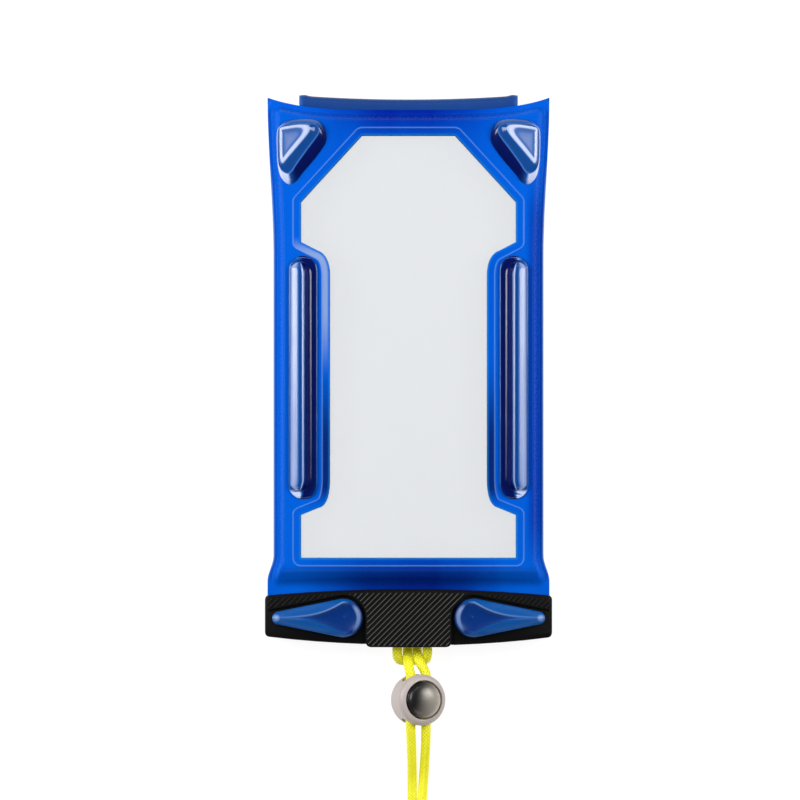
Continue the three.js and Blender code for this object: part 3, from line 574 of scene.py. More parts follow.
def set_light():
    """Softboxes either side, two long ones beyond the ends, and a faint even light."""
    side_size, end_size, middle = (0.36, 0.44), (0.6, 0.14), (0, 0, 0)
    softbox("softbox_left", (-0.62, 0.17, 0.52), middle, side_size, 6.4)
    softbox("softbox_right", (0.62, 0.17, 0.52), middle, side_size, 5.2)
    softbox("softbox_top", (0, 0.75, 0.6), middle, end_size, 1.6)
    softbox("softbox_foot", (0, -0.85, 0.5), (0, -0.05, 0), end_size, 1.2)
    world = bpy.data.worlds.new("studio")
    world.use_nodes = True
    world.node_tree.nodes["Background"].inputs["Color"].default_value = (1, 1, 1, 1)
    world.node_tree.nodes["Background"].inputs["Strength"].default_value = 0.07
    bpy.context.scene.world = world
    bpy.context.scene.view_settings.view_transform = "Standard"
    bpy.context.scene.cycles.use_denoising = True


def lay_floor():
    """A white table, lit from below as well, so that it stays white in the pouch's shadow."""
    f = Finish("studio_floor")
    lit = {"Emission_Color": (1, 1, 1), "Emission_Strength": 0.93}
    f.close(f.shader(Base_Color=(0.15, 0.15, 0.15), Roughness=0.9, Specular_IOR_Level=0.1, **lit))
    half = 3
    corners = [(-half, -half, 0), (half, -half, 0), (half, half, 0), (-half, half, 0)]
    mesh = bpy.data.meshes.new("studio_floor")
    mesh.from_pydata(corners, [], [(0, 1, 2, 3)])
    mesh.materials.append(f.material)
    floor = bpy.data.objects.new("studio_floor", mesh)
    floor.location.z = -0.05 * MM
    bpy.context.scene.collection.objects.link(floor)


# Cord


SPAN_STEPS = 24  # straight bits between two given points before the run is spaced out
SEEN_RUN = 95 * MM  # of the cord from each end, with finer rings
FINE_RINGS = 0.2 * MM
COARSE_RINGS = 0.5 * MM
CORD_SIDES = 28


def smooth_path(points, spacing):
    """Evenly spaced places on one smooth curve through the points."""
    p = np.asarray(points, float)
    p = np.vstack([2 * p[0] - p[1], p, 2 * p[-1] - p[-2]])
    spans = []
    for a, b, c, d in zip(p[:-3], p[1:-2], p[2:-1], p[3:]):
        first, middle, last = (np.sqrt(np.linalg.norm(v)) for v in (b - a, c - b, d - c))
        start = ((b - a) / first - (c - a) / (first + middle) + (c - b) / middle) * middle
        finish = ((c - b) / middle - (d - b) / (middle + last) + (d - c) / last) * middle
        t = np.linspace(0, 1, SPAN_STEPS, endpoint=False)[:, None]
        square, cube = 3 * (c - b) - 2 * start - finish, 2 * (b - c) + start + finish
        spans.append(b + start * t + square * t**2 + cube * t**3)
    fine = np.vstack([*spans, p[-2:-1]])
    run = np.concatenate([[0], np.cumsum(np.linalg.norm(np.diff(fine, axis=0), axis=1))])
    marks = spacing_marks(run[-1], spacing)
    return np.column_stack([np.interp(marks, run, fine[:, k]) for k in range(3)]), marks


def spacing_marks(length, spacing):
    """Distances along a cord, closer where spacing, a function of the distance, says so."""
    marks = [0.0]
    while marks[-1] < length:
        marks.append(marks[-1] + spacing(marks[-1]))
    return np.array(marks) * length / marks[-1]


def braid_swell(around, along):
    """Height from 0 to 1 of a braid's over and under yarns."""
    first, second = around + along, around - along
    over = (np.floor(first) + np.floor(second)) % 2
    return np.where(over > 0.5, np.abs(np.sin(np.pi * first)), np.abs(np.sin(np.pi * second)))


def braided_tube(name, points, spacing):
    """A braided cord along a route, the route itself and its length."""
    sides = CORD_SIDES
    path, marks = smooth_path(points, spacing)
    ahead = np.gradient(path, axis=0)
    ahead /= np.linalg.norm(ahead, axis=1)[:, None]
    out = np.array([0.0, 0.0, 1.0])
    turns = 2 * np.pi * np.arange(sides) / sides
    around = BRAID_YARNS * np.arange(sides) / sides
    rings = []
    for place, forward, mark in zip(path, ahead, marks):
        out = out - forward * out.dot(forward)
        out /= np.linalg.norm(out)
        side = np.cross(forward, out)
        radius = CORD_RADIUS - BRAID_DEPTH * (1 - braid_swell(around, mark / BRAID_STEP))
        rings.append(place + radius[:, None] * (np.cos(turns)[:, None] * out + np.sin(turns)[:, None] * side))
    grid = np.array(rings)
    mesh = bpy.data.meshes.new(name)
    rows = len(rings)
    faces = grid_faces(rows, sides, False, True)
    faces += [tuple(range(sides)), tuple(range(rows * sides - 1, (rows - 1) * sides - 1, -1))]
    mesh.from_pydata(grid.reshape(-1, 3).tolist(), [], faces)
    layer = mesh.uv_layers.new(name="braid")
    corner = np.array([(0, 0), (1, 0), (1, 1), (0, 1)])
    row, column = (np.repeat(n.ravel(), 4).reshape(-1, 4) for n in np.mgrid[0 : rows - 1, 0:sides])
    u = (column + corner[:, 1]) * BRAID_YARNS / sides
    v = marks[row + corner[:, 0]] / BRAID_STEP
    flat = np.zeros((len(mesh.loops), 2), np.float32)
    flat[: u.size] = np.column_stack([u.ravel(), v.ravel()])
    layer.data.foreach_set("uv", flat.ravel())
    made = bmesh.new()
    made.from_mesh(mesh)
    bmesh.ops.recalc_face_normals(made, faces=made.faces)
    made.to_mesh(mesh)
    made.free()
    return mesh, path, float(marks[-1])


def millimetres(points):
    """Points given in mm as places in the scene."""
    return [Vector(p) * MM for p in points]


# The cord's hitch on the clamp's bail, in mm: one side from under the bail, up through its slot and over it,
# then down in a lobe to the bend that crosses behind the legs
HITCH_X = 1.5
HITCH_SIDE = [
    (1.95, -107.0, 2.05),
    (1.95, -105.4, 2.05),
    (2.25, -103.55, 3.25),
    (3.05, -103.05, 5.375),
    (4.05, -103.55, 7.5),
    (4.95, -105.4, 8.7),
    (5.88, -107.9, 8.7),
    (6.0, -110.91, 8.4),
    (6.0, -113.32, 6.8),
    (5.52, -115.21, 4.4),
    (4.2, -115.9, 2.55),
    (2.28, -115.9, 1.95),
]
HITCH_MIDDLE = (0, -115.9, 1.95)

# The two strands as they leave the bail, pass the lock and reach the coil, in mm
LEFT_STRAND = [
    (-0.45, -107.3, 2.05),
    (-0.45, -109.7, 2.05),
    (-0.42, -112.2, 4.05),
    (-0.3, -115, 7.25),
    (0.05, -117.6, 10.15),
    (0.4, -119.6, 11.62),
    (0.82, -121.6, 12.02),
    (0.82, -126, 12.02),
    (0.82, -137, 12.02),
    (0.82, -141.6, 12.02),
    (1.1, -148, 9.92),
    (1.35, -156, 6.6),
    (1.45, -164, 3.4),
    (1.5, -171, 2.6),
    (1.5, -179, 2.6),
    (1.5, -186, 2.6),
    (1.5, -193, 2.6),
]
RIGHT_STRAND = [
    (3.45, -107.3, 2.05),
    (3.47, -109.7, 2.05),
    (3.5, -112, 3.95),
    (3.75, -114.6, 6.95),
    (4.9, -117.2, 8.65),
    (6.2, -119.4, 8.94),
    (6.98, -121.6, 9.14),
    (6.98, -126, 9.14),
    (6.98, -137, 9.14),
    (6.98, -141.6, 9.14),
    (6.9, -148, 7.94),
    (6.5, -156, 5),
    (6, -164, 2.9),
    (5.5, -171, 2.9),
    (4.9, -176, 4),
    (4.3, -181, 5.45),
    (2.7, -187, 6.2),
    (1.75, -193, 6.3),
]
COIL_STEP_SHARE = 0.8  # share of a turn before the cord steps in to the next
LOOP_BEND = 7.4 * MM
LOOP_FROM = math.radians(60)  # where the lower layer turns back
BEND_STEPS = 8
RISE_STEPS = 13  # from the lower layer to the upper one


def coil_turns(level, sweep):
    """One layer of the coil, wound inwards from its left edge through sweep radians."""
    points = []
    steps = int(sweep / math.radians(15))
    for i in range(1, steps + 1):
        angle = sweep * i / steps
        turn, share = divmod(angle / (2 * math.pi), 1)
        step = float(smooth_step((share - COIL_STEP_SHARE) / (1 - COIL_STEP_SHARE)))
        radius = COIL_RADIUS - CORD_PITCH * (turn + step)
        away = math.pi + angle
        points.append((COIL_X + radius * math.cos(away), COIL_Y + radius * math.sin(away), level))
    return points


def coil_route():
    """Both layers and the bend inside them that joins the two, from the left strand to the right one."""
    low, high = COIL_LEVELS
    inner = COIL_RADIUS - 2 * CORD_PITCH
    two_and_a_half = 5 * math.pi
    lower = coil_turns(low, two_and_a_half + LOOP_FROM)
    bend_x = inner - LOOP_BEND
    cross_x = inner - 2 * LOOP_BEND
    back_bend = 8 * MM
    back_x = cross_x - back_bend
    back_y = -math.sqrt((inner - back_bend) ** 2 - back_x**2)
    meet = math.atan2(back_y, back_x)
    loop = []
    for i in range(1, BEND_STEPS + 1):
        angle = math.pi * i / BEND_STEPS
        loop.append((bend_x + LOOP_BEND * math.cos(angle), LOOP_BEND * math.sin(angle)))
    for i in range(1, BEND_STEPS + 1):
        angle = meet * i / (BEND_STEPS + 1)
        loop.append((back_x + back_bend * math.cos(angle), back_y + back_bend * math.sin(angle)))
    rise = [low + (high - low) * float(smooth_step((i + 1) / RISE_STEPS)) for i in range(len(loop))]
    cos, sin = math.cos(LOOP_FROM), math.sin(LOOP_FROM)
    turned = []
    for (x, y), level in zip(loop, rise):
        turned.append((COIL_X + x * cos - y * sin, COIL_Y + x * sin + y * cos, level))
    upper = coil_turns(high, two_and_a_half + meet + LOOP_FROM)
    return [*lower, *turned, *reversed(upper)]


def hitch_route():
    """The hitch from one side of the bail to the other."""
    left = [(HITCH_X - x, y, z) for x, y, z in HITCH_SIDE]
    right = [(HITCH_X + x, y, z) for x, y, z in reversed(HITCH_SIDE)]
    return millimetres([*left, (HITCH_X, *HITCH_MIDDLE[1:]), *right])


def cord_route():
    """The left strand, the coil and the right strand."""
    return [*millimetres(LEFT_STRAND), *coil_route(), *reversed(millimetres(RIGHT_STRAND))]


def make_cord(finish):
    """The neck cord in one run from the bail to the bail, with its hitch."""
    route = cord_route()
    _, rough_marks = smooth_path(route, lambda run: COARSE_RINGS)
    whole = rough_marks[-1]

    def spacing(run):
        return FINE_RINGS if min(run, whole - run) < SEEN_RUN else COARSE_RINGS

    mesh, path, length = braided_tube("neck_cord", route, spacing)
    nodes = ["lanyard_strand_left", "lanyard_strand_right", "lanyard_coil"]
    cord = piece("neck_cord", mesh, finish, "pouch", nodes)
    hitch_mesh, _, _ = braided_tube("bail_hitch", hitch_route(), lambda run: FINE_RINGS)
    hitch = piece("bail_hitch", hitch_mesh, finish, "pouch", ["lanyard_hitch"])
    return cord, hitch, path[::4], length


# Film


def line(a, b):
    """A straight run from a to b."""
    a, b = np.array(a), np.array(b)
    return lambda t: a + (b - a) * t[:, None]


def bend(a, control, b):
    """A curve from a to b that leaves towards the control point and arrives from it."""
    a, control, b = np.array(a), np.array(control), np.array(b)

    def curve(t):
        t = t[:, None]
        return a * (1 - t) ** 2 + 2 * control * t * (1 - t) + b * t**2

    return curve


def side_x(y):
    """The film's side edge, flared at the ears and at the mouth."""
    ear = smooth_step((y - (TOP_Y - EAR_FLARE_LENGTH)) / EAR_FLARE_LENGTH)
    mouth = smooth_step((AXIS_Y + MOUTH_SHOULDER - y) / MOUTH_FLARE_LENGTH)
    return WAIST_HALF + EAR_FLARE * ear + MOUTH_FLARE * mouth


def top_edge(x):
    """The film's top edge, which rises into the two ears."""
    return TOP_Y - TOP_EDGE_INSET + EAR_RISE * np.abs(x / EAR_HALF) ** 4


def edge_gap(p):
    """Distance in from the film's outer edges, with the wall's corners rounded."""
    side = WALL_CORNER - np.minimum(side_x(p[..., 1]) - np.abs(p[..., 0]), WALL_CORNER)
    top = WALL_CORNER - np.minimum(top_edge(p[..., 0]) - p[..., 1], WALL_CORNER)
    return WALL_CORNER - np.hypot(side, top)


def across_top(x0, x1):
    def edge(t):
        x = x0 + (x1 - x0) * t
        return np.column_stack([x, top_edge(x)])

    return edge


def down_side(y0, y1):
    def edge(t):
        y = y0 + (y1 - y0) * t
        return np.column_stack([side_x(y), y])

    return edge


def level_with(inner):
    """The outer edge's points at the height of the window's."""

    def edge(t):
        y = inner(t)[:, 1]
        return np.column_stack([side_x(y), y])

    return edge


def film_ring():
    """The window's edge and the film's outer edge in matched points, all the way round."""
    chamfer_middle = ((WINDOW_TOP_HALF + WINDOW_WIDE_HALF) / 2, WINDOW_TOP - CHAMFER_DROP / 2)
    chamfer_end = (WINDOW_WIDE_HALF, WINDOW_TOP - CHAMFER_DROP)
    step_outer = (WINDOW_WIDE_HALF, STEP_Y)
    step_inner = (WINDOW_WIDE_HALF - STEP_RUN, STEP_Y - STEP_SLOPE)
    narrow_top = (WINDOW_NARROW_HALF, step_inner[1] - STEP_ROUND)
    foot_outer = (WINDOW_WIDE_HALF, FOOT_Y)
    foot_inner = (WINDOW_WIDE_HALF - FOOT_RUN, FOOT_Y + FOOT_SLOPE)
    narrow_foot = (WINDOW_NARROW_HALF, foot_inner[1] + FOOT_ROUND)
    foot_corner = (WINDOW_WIDE_HALF, WINDOW_FOOT)
    ear_point = EAR_HALF * 0.45
    brow = line((0, WINDOW_TOP), (WINDOW_TOP_HALF, WINDOW_TOP))
    straight = line(chamfer_end, step_outer)
    slope = line(step_outer, step_inner)
    upper = bend(step_inner, (WINDOW_NARROW_HALF, step_inner[1] - STEP_SLOPE / 2), narrow_top)
    narrow = line(narrow_top, narrow_foot)
    lower = bend(narrow_foot, (WINDOW_NARROW_HALF, foot_inner[1] + FOOT_SLOPE / 3), foot_inner)
    flare = line(foot_inner, foot_outer)
    mouth_corner = (float(side_x(MOUTH_Y)), MOUTH_Y)
    spans = [
        (12, brow, across_top(0, ear_point)),
        (26, line((WINDOW_TOP_HALF, WINDOW_TOP), chamfer_middle), across_top(ear_point, EAR_HALF)),
        (26, line(chamfer_middle, chamfer_end), down_side(float(top_edge(EAR_HALF)), chamfer_end[1])),
        (10, straight, level_with(straight)),
        (8, slope, level_with(slope)),
        (14, upper, level_with(upper)),
        (30, narrow, level_with(narrow)),
        (14, lower, level_with(lower)),
        (8, flare, level_with(flare)),
        (24, line(foot_outer, foot_corner), down_side(FOOT_Y, MOUTH_Y)),
        (30, line(foot_corner, (0, WINDOW_FOOT)), line(mouth_corner, (0, MOUTH_Y))),
    ]
    inner, outer = [], []
    for count, window_edge, film_edge in spans:
        t = np.arange(count) / count
        inner.append(window_edge(t))
        outer.append(film_edge(t))
    inner = np.vstack([*inner, [(0, WINDOW_FOOT)]])
    outer = np.vstack([*outer, [(0, MOUTH_Y)]])
    flip = np.array([-1, 1])
    return np.vstack([inner, inner[-2:0:-1] * flip]), np.vstack([outer, outer[-2:0:-1] * flip])


def gap_to(ring):
    """Distance of points from a closed line."""
    start, along = ring, np.roll(ring, -1, axis=0) - ring
    square = (along**2).sum(1)

    def gap(points):
        flat = points.reshape(-1, 2)
        nearest = np.full(len(flat), np.inf)
        for a, v, s in zip(start, along, square):
            t = np.clip(((flat - a) @ v) / s, 0, 1)
            nearest = np.minimum(nearest, np.hypot(*(flat - a - t[:, None] * v).T))
        return nearest.reshape(points.shape[:-1])

    return gap


def reach(outer, inner, gap, wanted, rising):
    """The share of the way in from the outer edge at which gap comes to the wanted distance."""
    low, high = np.zeros(len(outer)), np.ones(len(outer))
    for _ in range(16):
        middle = (low + high) / 2
        far = gap(outer + (inner - outer) * middle[:, None])
        before = far < wanted if rising else far > wanted
        low, high = np.where(before, middle, low), np.where(before, high, middle)
    return high


# Distances, in mm, in from the film's outer edge and out from the window's at which the film has points
EDGE_STOPS = [0, 0.1, 0.3, 0.7, 1.1, *np.linspace(1.4, 4.4, 11), 4.8, 5.3]
WELD_STOPS = [4.4, 4.0, 3.75, 3.6, 3.45, 3.3, 3.2, 3.1, 3.0, 2.9, 2.75, 2.6, 2.4, 2.1, 1.6, 1.1]
RIM_STOPS = [0.8, 0.5, 0.36, 0.22, 0.1, 0.03, 0.0]
BETWEEN_STOPS = 9
EVEN_RUN = 6 * MM  # below the window, over which neighbouring stops are evened out
EVEN_ROUNDS = 8
FLAT_SHARE = 0.46  # share of the way in where the wall would end at the open mouth, which has none


def film_shell(name, seam, depth, towards):
    """One half of the pouch's moulded film, welded rim, wall, face and window edge, as a closed shell."""
    inner, outer = film_ring()
    window_gap = gap_to(inner)
    at_edge = edge_gap(outer)
    wall = [np.zeros(len(outer))]
    for wanted in EDGE_STOPS[1:]:
        share = reach(outer, inner, edge_gap, wanted * MM, True)
        wall.append(np.where(at_edge >= wanted * MM, FLAT_SHARE * wanted / EDGE_STOPS[-1], share))
    inward = [reach(outer, inner, window_gap, wanted * MM, False) for wanted in [*WELD_STOPS, *RIM_STOPS]]
    face = [wall[-1] + (inward[0] - wall[-1]) * i / BETWEEN_STOPS for i in range(1, BETWEEN_STOPS)]
    stops = np.maximum.accumulate(np.array([*wall, *face, *inward]).T, axis=1)
    low = smooth_step((WINDOW_FOOT - outer[:, 1]) / EVEN_RUN)[:, None]
    for _ in range(EVEN_ROUNDS):
        stops += (np.roll(stops, 1, axis=0) / 3 + np.roll(stops, -1, axis=0) / 3 - stops * 2 / 3) * low
    stops[:, -1] = 1.0
    plan = outer[:, None] + (inner - outer)[:, None] * stops[..., None]
    edge, window = edge_gap(plan), window_gap(plan)
    full_y = WINDOW_FOOT - MOUTH_LEVEL
    rise = smooth_step((plan[..., 1] - full_y + MOUTH_SLOPE) / MOUTH_SLOPE)
    top = depth * smooth_step((edge - SEAM_WIDTH) / WALL_RUN) * rise
    weld = WELD_HEIGHT * np.exp(-(((window - WELD_INSET) / WELD_HALF) ** 2)) * rise
    inset = np.clip(EDGE_ROUND - window, 0, EDGE_ROUND)
    rounding = EDGE_ROUND - np.sqrt(EDGE_ROUND**2 - inset**2)
    under = depth * smooth_step((edge - SEAM_WIDTH - FILM_THICK) / WALL_RUN) * rise - FILM_THICK
    outer_skin = np.dstack([plan, seam + towards * (top + weld - rounding)])
    inner_skin = np.dstack([plan, seam + towards * under])
    grid = np.concatenate([outer_skin, inner_skin[:, ::-1]], axis=1)
    gaps = {"window_gap": window, "edge_gap": edge}
    values = {title: np.concatenate([gap, gap[:, ::-1]], axis=1) for title, gap in gaps.items()}
    return skin(name, grid, round_rows=True, values=values)


def make_film(finish):
    """Both halves of the moulded film, welded at the seam."""
    front_depth = FRONT_FACE - SEAM_LEVEL - FILM_THICK
    rear_depth = SEAM_LEVEL - FILM_THICK - REAR_FACE
    front = film_shell("front_film", SEAM_LEVEL + FILM_THICK, front_depth, 1)
    rear = film_shell("rear_film", SEAM_LEVEL - FILM_THICK, rear_depth, -1)
    piece("front_film", front, finish, "pouch", ["front_frame"])
    piece("rear_film", rear, finish, "pouch", ["rear_frame"])


def make_window(name, node, finish):
    """A clear sheet, lapped under the film round its cut-out."""
    inner, outer = film_ring()
    away = outer - inner
    outline = inner + away / np.linalg.norm(away, axis=1)[:, None] * WINDOW_LAP
    low, high = (corner.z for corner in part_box(node))
    levels = [np.column_stack([outline, np.full(len(outline), z)]) for z in (low, high)]
    piece(name, skin(name, levels, ends=True), finish, "pouch", [node], smooth=False)


# Air cushions

PILL_HALF = 5.9 * MM
PILL_X = 42.1 * MM
PILL_LOW, PILL_HIGH = (corner.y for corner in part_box("side_cushion_right"))
BAR_X = 43.2 * MM
BAR_HALF = 4.7 * MM
BAR_LOW, BAR_HIGH = PILL_LOW + 3.4 * MM, PILL_HIGH - 2.6 * MM
BAR_LEAN = 0.5 * MM  # how far its ends lie further out than its middle

# Outer foot to inner foot of the bar: share across, height in mm, and painted shade (above zero) or painted
# highlight (below zero)
BAR_PROFILE = [
    (0.0, 0.0, 0.0),
    (0.01, 0.7, -0.2),
    (0.025, 1.25, -0.3),
    (0.05, 1.6, -0.4),
    (0.1, 1.87, -0.45),
    (0.16, 2.15, -0.5),
    (0.22, 2.4, -0.45),
    (0.28, 2.63, -0.35),
    (0.335, 2.81, -0.22),
    (0.385, 2.9, -0.05),
    (0.44, 2.94, 0.5),
    (0.5, 2.98, 0.45),
    (0.535, 3.03, 0.2),
    (0.565, 3.16, -0.4),
    (0.59, 3.27, -0.5),
    (0.615, 3.3, -0.3),
    (0.64, 3.24, 0.5),
    (0.67, 3.02, 0.9),
    (0.71, 2.5, 1.0),
    (0.76, 1.75, 1.0),
    (0.82, 1.0, 1.0),
    (0.89, 0.45, 1.0),
    (0.95, 0.15, 1.0),
    (1.0, 0.0, 1.0),
]
# Rim of the base: distance in from its edge and height, in mm
RIM_PROFILE = [(0.0, 0.0), (0.04, 0.35), (0.2, 0.66), (0.45, 0.84), (0.75, 0.9)]


def rounded_end(y, low, high, half):
    """Half the width at y of a strip with round ends, as a share of its full half width."""
    near = np.clip(np.minimum(y - low, high - y), 0, half) / half
    return math.sqrt(max(1 - (1 - near) ** 2, 0.0))


def end_stops(low, high, reach_in, middle):
    """Places from low to high, close together near both ends."""
    ends = reach_in * (1 - np.cos(np.linspace(0, math.pi / 2, 12)))
    between = np.linspace(low + reach_in, high - reach_in, middle)[1:-1]
    return np.concatenate([low + ends, between, (high - ends)[::-1]])


def make_side_cushion(name, node, side, finish):
    """A long air cushion: a flat base with a rolled rim and a raised bar that leans outwards."""
    pill_stops = end_stops(PILL_LOW, PILL_HIGH, PILL_HALF, 60)
    bar_stops = end_stops(BAR_LOW, BAR_HIGH, BAR_HALF, 3)
    grid, painted_shading = [], []
    for y in np.unique(np.concatenate([pill_stops, bar_stops])):
        pill = rounded_end(y, PILL_LOW, PILL_HIGH, PILL_HALF)
        bar = rounded_end(y, BAR_LOW, BAR_HIGH, BAR_HALF)
        outer, inner = PILL_X + PILL_HALF * pill, PILL_X - PILL_HALF * pill
        rim = [(inset * pill * MM, up * min(1, pill * 1.6) * MM) for inset, up in RIM_PROFILE]
        rim_run, top = rim[-1]
        # Painted highlight at the bar's end by the mouth, where tip is 1.
        tip = float(smooth_step((BAR_LOW + 1 * MM - y) / (2 * MM)))  # 1 where the mouth end is pale
        middle = BAR_X + BAR_LEAN * (1 - bar)
        foot = min(middle + BAR_HALF * bar, outer - rim_run)
        far = max(middle - BAR_HALF * bar, inner + rim_run)
        # Each point's last value is painted shade above zero or painted highlight below zero: highlight on
        # the bar's outer face and its end by the mouth, shade on its inner side and on the base within it.
        row = [(outer - inset, up, 0.1 - tip) for inset, up in rim]
        for share, up, deep_shade in BAR_PROFILE:
            row.append((foot + (far - foot) * share, top + up * MM * bar**0.7, deep_shade - tip))
        for share in (0.33, 0.66):
            row.append((far + (inner + rim_run - far) * share, top, 1.0))
        row += [(inner + inset, up, 0.9 - 0.7 * (up < top)) for inset, up in reversed(rim)]
        grid.append([(side * x, y, FRONT_FACE + z) for x, z, _ in row])
        painted_shading.append([deep_shade for _, _, deep_shade in row])
    mesh = skin(name, grid, ends=True, values={"depth": painted_shading})
    made = piece(name, mesh, finish, "pouch", [node])


# The pad's outlines on the right-hand side, in mm, as matched points round from its outer side over its top,
# its inner corner, its long slope and its lower tip
PAD_FOOT = [
    (52.6, 95.6), (51.3, 98.0), (48.3, 100.3), (43.5, 100.9), (37.5, 100.5), (34.2, 98.6), (32.7, 94.5),
    (33.3, 90.4), (37.4, 84.6), (42.2, 79.0), (45.2, 75.3), (48.3, 74.6), (51.0, 77.4), (52.3, 82.0),
    (52.7, 89.0),
]
PAD_SHOULDER = [
    (52.2, 95.4), (51.2, 97.3), (48.0, 98.7), (43.3, 99.0), (39.2, 98.9), (36.9, 98.4), (35.6, 96.6),
    (36.5, 94.0), (40.2, 89.0), (44.3, 83.3), (46.6, 79.8), (48.6, 78.9), (50.9, 80.4), (52.0, 83.4),
    (52.3, 89.0),
]
PAD_BROW = [
    (51.4, 95.6), (51.0, 97.1), (48.0, 97.8), (44.0, 98.3), (41.2, 98.3), (39.7, 97.7), (39.6, 96.0),
    (40.8, 94.0), (44.5, 89.6), (47.6, 86.0), (49.7, 83.5), (50.3, 83.0), (50.8, 83.3), (51.2, 85.0),
    (51.4, 90.0),
]
PAD_FACE = [
    (50.5, 95.4), (50.4, 96.1), (48.0, 96.6), (45.0, 97.0), (43.2, 96.9), (42.5, 96.3), (42.5, 95.4),
    (43.2, 94.0), (45.8, 90.8), (48.2, 87.8), (49.9, 85.5), (50.15, 85.2), (50.3, 85.4), (50.4, 86.5),
    (50.5, 91.0),
]
# Painted shade (above zero) or painted highlight (below zero) on the pad's side at the same points
PAD_SIDE_SHADING = [-0.9, -0.5, 0.0, 0.1, 0.1, 0.4, 1.0, 1.0, 1.0, 1.0, 0.7, -0.9, -0.9, -0.8, -0.9]
# Each ring lies between two outlines: the first one's number, share of the way to the next, height in mm and
# painted shade (above zero) or painted highlight (below zero), or None for the side's own painted shading
PAD_RINGS = [
    (0, 0.0, -0.5, 0.2),
    (0, 0.04, 0.1, None),
    (0, 0.15, 0.7, None),
    (0, 0.4, 1.6, None),
    (0, 0.7, 2.3, None),
    (0, 0.9, 2.65, None),
    (1, 0.0, 2.78, -0.25),
    (1, 0.08, 2.83, 0.0),
    (1, 0.2, 2.9, 0.35),
    (1, 0.4, 3.1, 0.35),
    (1, 0.6, 3.4, 0.3),
    (1, 0.8, 3.8, 0.25),
    (1, 0.93, 4.08, 0.0),
    (2, 0.0, 4.22, -0.5),
    (2, 0.3, 4.36, -0.8),
    (2, 0.6, 4.34, -0.8),
    (2, 0.85, 4.2, -0.6),
    (3, 0.0, 4.08, -0.2),
    (3, 0.15, 3.98, -0.1),
    (3, 0.45, 3.92, -0.25),
    (3, 0.8, 3.9, -0.3),
    (3, 0.98, 3.9, -0.3),
]
PAD_POINTS = 120


def round_trip(values, count):
    """Values at equal steps on a smooth closed curve through the given ones."""
    given = np.asarray(values, float)
    places = np.arange(count) * len(given) / count
    index, t = places.astype(int), places % 1
    before, here, ahead, beyond = (np.take(given, index + k, axis=0, mode="wrap") for k in (-1, 0, 1, 2))
    if given.ndim > 1:
        t = t[:, None]
    rise, fall = (ahead - before) / 2, (beyond - here) / 2
    square, cube = 3 * (ahead - here) - 2 * rise - fall, 2 * (here - ahead) + rise + fall
    return here + rise * t + square * t**2 + cube * t**3


def make_corner_cushion(name, node, side, finish):
    """A three-sided pad: a steep side up to a shoulder, a slope, and a small face inside a rolled brow."""
    outlines = [round_trip(outline, PAD_POINTS) for outline in (PAD_FOOT, PAD_SHOULDER, PAD_BROW, PAD_FACE)]
    outlines.append(np.repeat(outlines[-1].mean(axis=0)[None], PAD_POINTS, axis=0))
    side_shading = round_trip(PAD_SIDE_SHADING, PAD_POINTS)
    grid, painted_shading = [], []
    for which, share, level, deep_shade in PAD_RINGS:
        ring = outlines[which] * (1 - share) + outlines[which + 1] * share
        grid.append(np.column_stack([ring * MM, np.full(PAD_POINTS, FRONT_FACE + level * MM)]))
        # Painted shade or painted highlight for each ring, stored as its depth.
        painted_shading.append(side_shading if deep_shade is None else np.full(PAD_POINTS, deep_shade))
    grid = np.array(grid) * np.array([side, 1, 1])
    mesh = skin(name, grid, ends=True, values={"depth": painted_shading})
    made = piece(name, mesh, finish, "pouch", [node])


# The rear bumper's section: share out from the seam, share of its height
BUMPER_SECTION = [
    (0.0, 0.1), (0.0, 0.93), (0.05, 0.985), (0.15, 1.0), (0.4, 1.0), (0.6, 0.985), (0.76, 0.94),
    (0.88, 0.85), (0.96, 0.7), (1.0, 0.5), (0.98, 0.3), (0.92, 0.14), (0.82, 0.04), (0.7, 0.0), (0.1, 0.0),
]
BUMPER_CROWN = 1.6 * MM
BUMPER_CAP = 1.1 * MM  # length of its rounded ends
BUMPER_SWELL = 0.4 * MM  # how far it swells behind each end
BUMPER_SWELL_AT, BUMPER_SWELL_RUN = 2.2 * MM, 1.6 * MM
# The bumper is painted in half shade, which fades out over this length at each end.
BUMPER_SHADE_FADE = 1.3 * MM  # length of the paler tint at each end
BUMPER_START = 0.3 * MM  # out from where the film's weld begins


def make_bumper(finish):
    """The long cushion across the back of the closed end, with swollen ends."""
    low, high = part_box("rear_top_cushion")
    grid, painted_shading = [], []
    for x in end_stops(low.x, high.x, 5 * MM, 50):
        end = high.x - abs(x)
        full = 0.6 + 0.4 * rounded_end(x, low.x, high.x, BUMPER_CAP)
        swell = BUMPER_SWELL * math.exp(-(((end - BUMPER_SWELL_AT) / BUMPER_SWELL_RUN) ** 2))
        inner = top_edge(x) - SEAM_WIDTH + BUMPER_START
        outer = TOP_Y - BUMPER_CROWN * (1 - (x / high.x) ** 2) + swell
        row = []
        for across, up in BUMPER_SECTION:
            y = inner + (outer - inner) * (1 - (1 - across) * full)
            row.append((x, y, min(up * high.z * full, high.z)))
        grid.append(row)
        # Painted half shade along the bumper, fading out towards its ends.
        painted_shading.append([0.5 - 0.5 * math.exp(-((end / BUMPER_SHADE_FADE) ** 2))] * len(row))
    mesh = skin("top_bumper", grid, ends=True, values={"depth": painted_shading})
    made = piece("top_bumper", mesh, finish, "pouch", ["rear_top_cushion"])


# Clamp

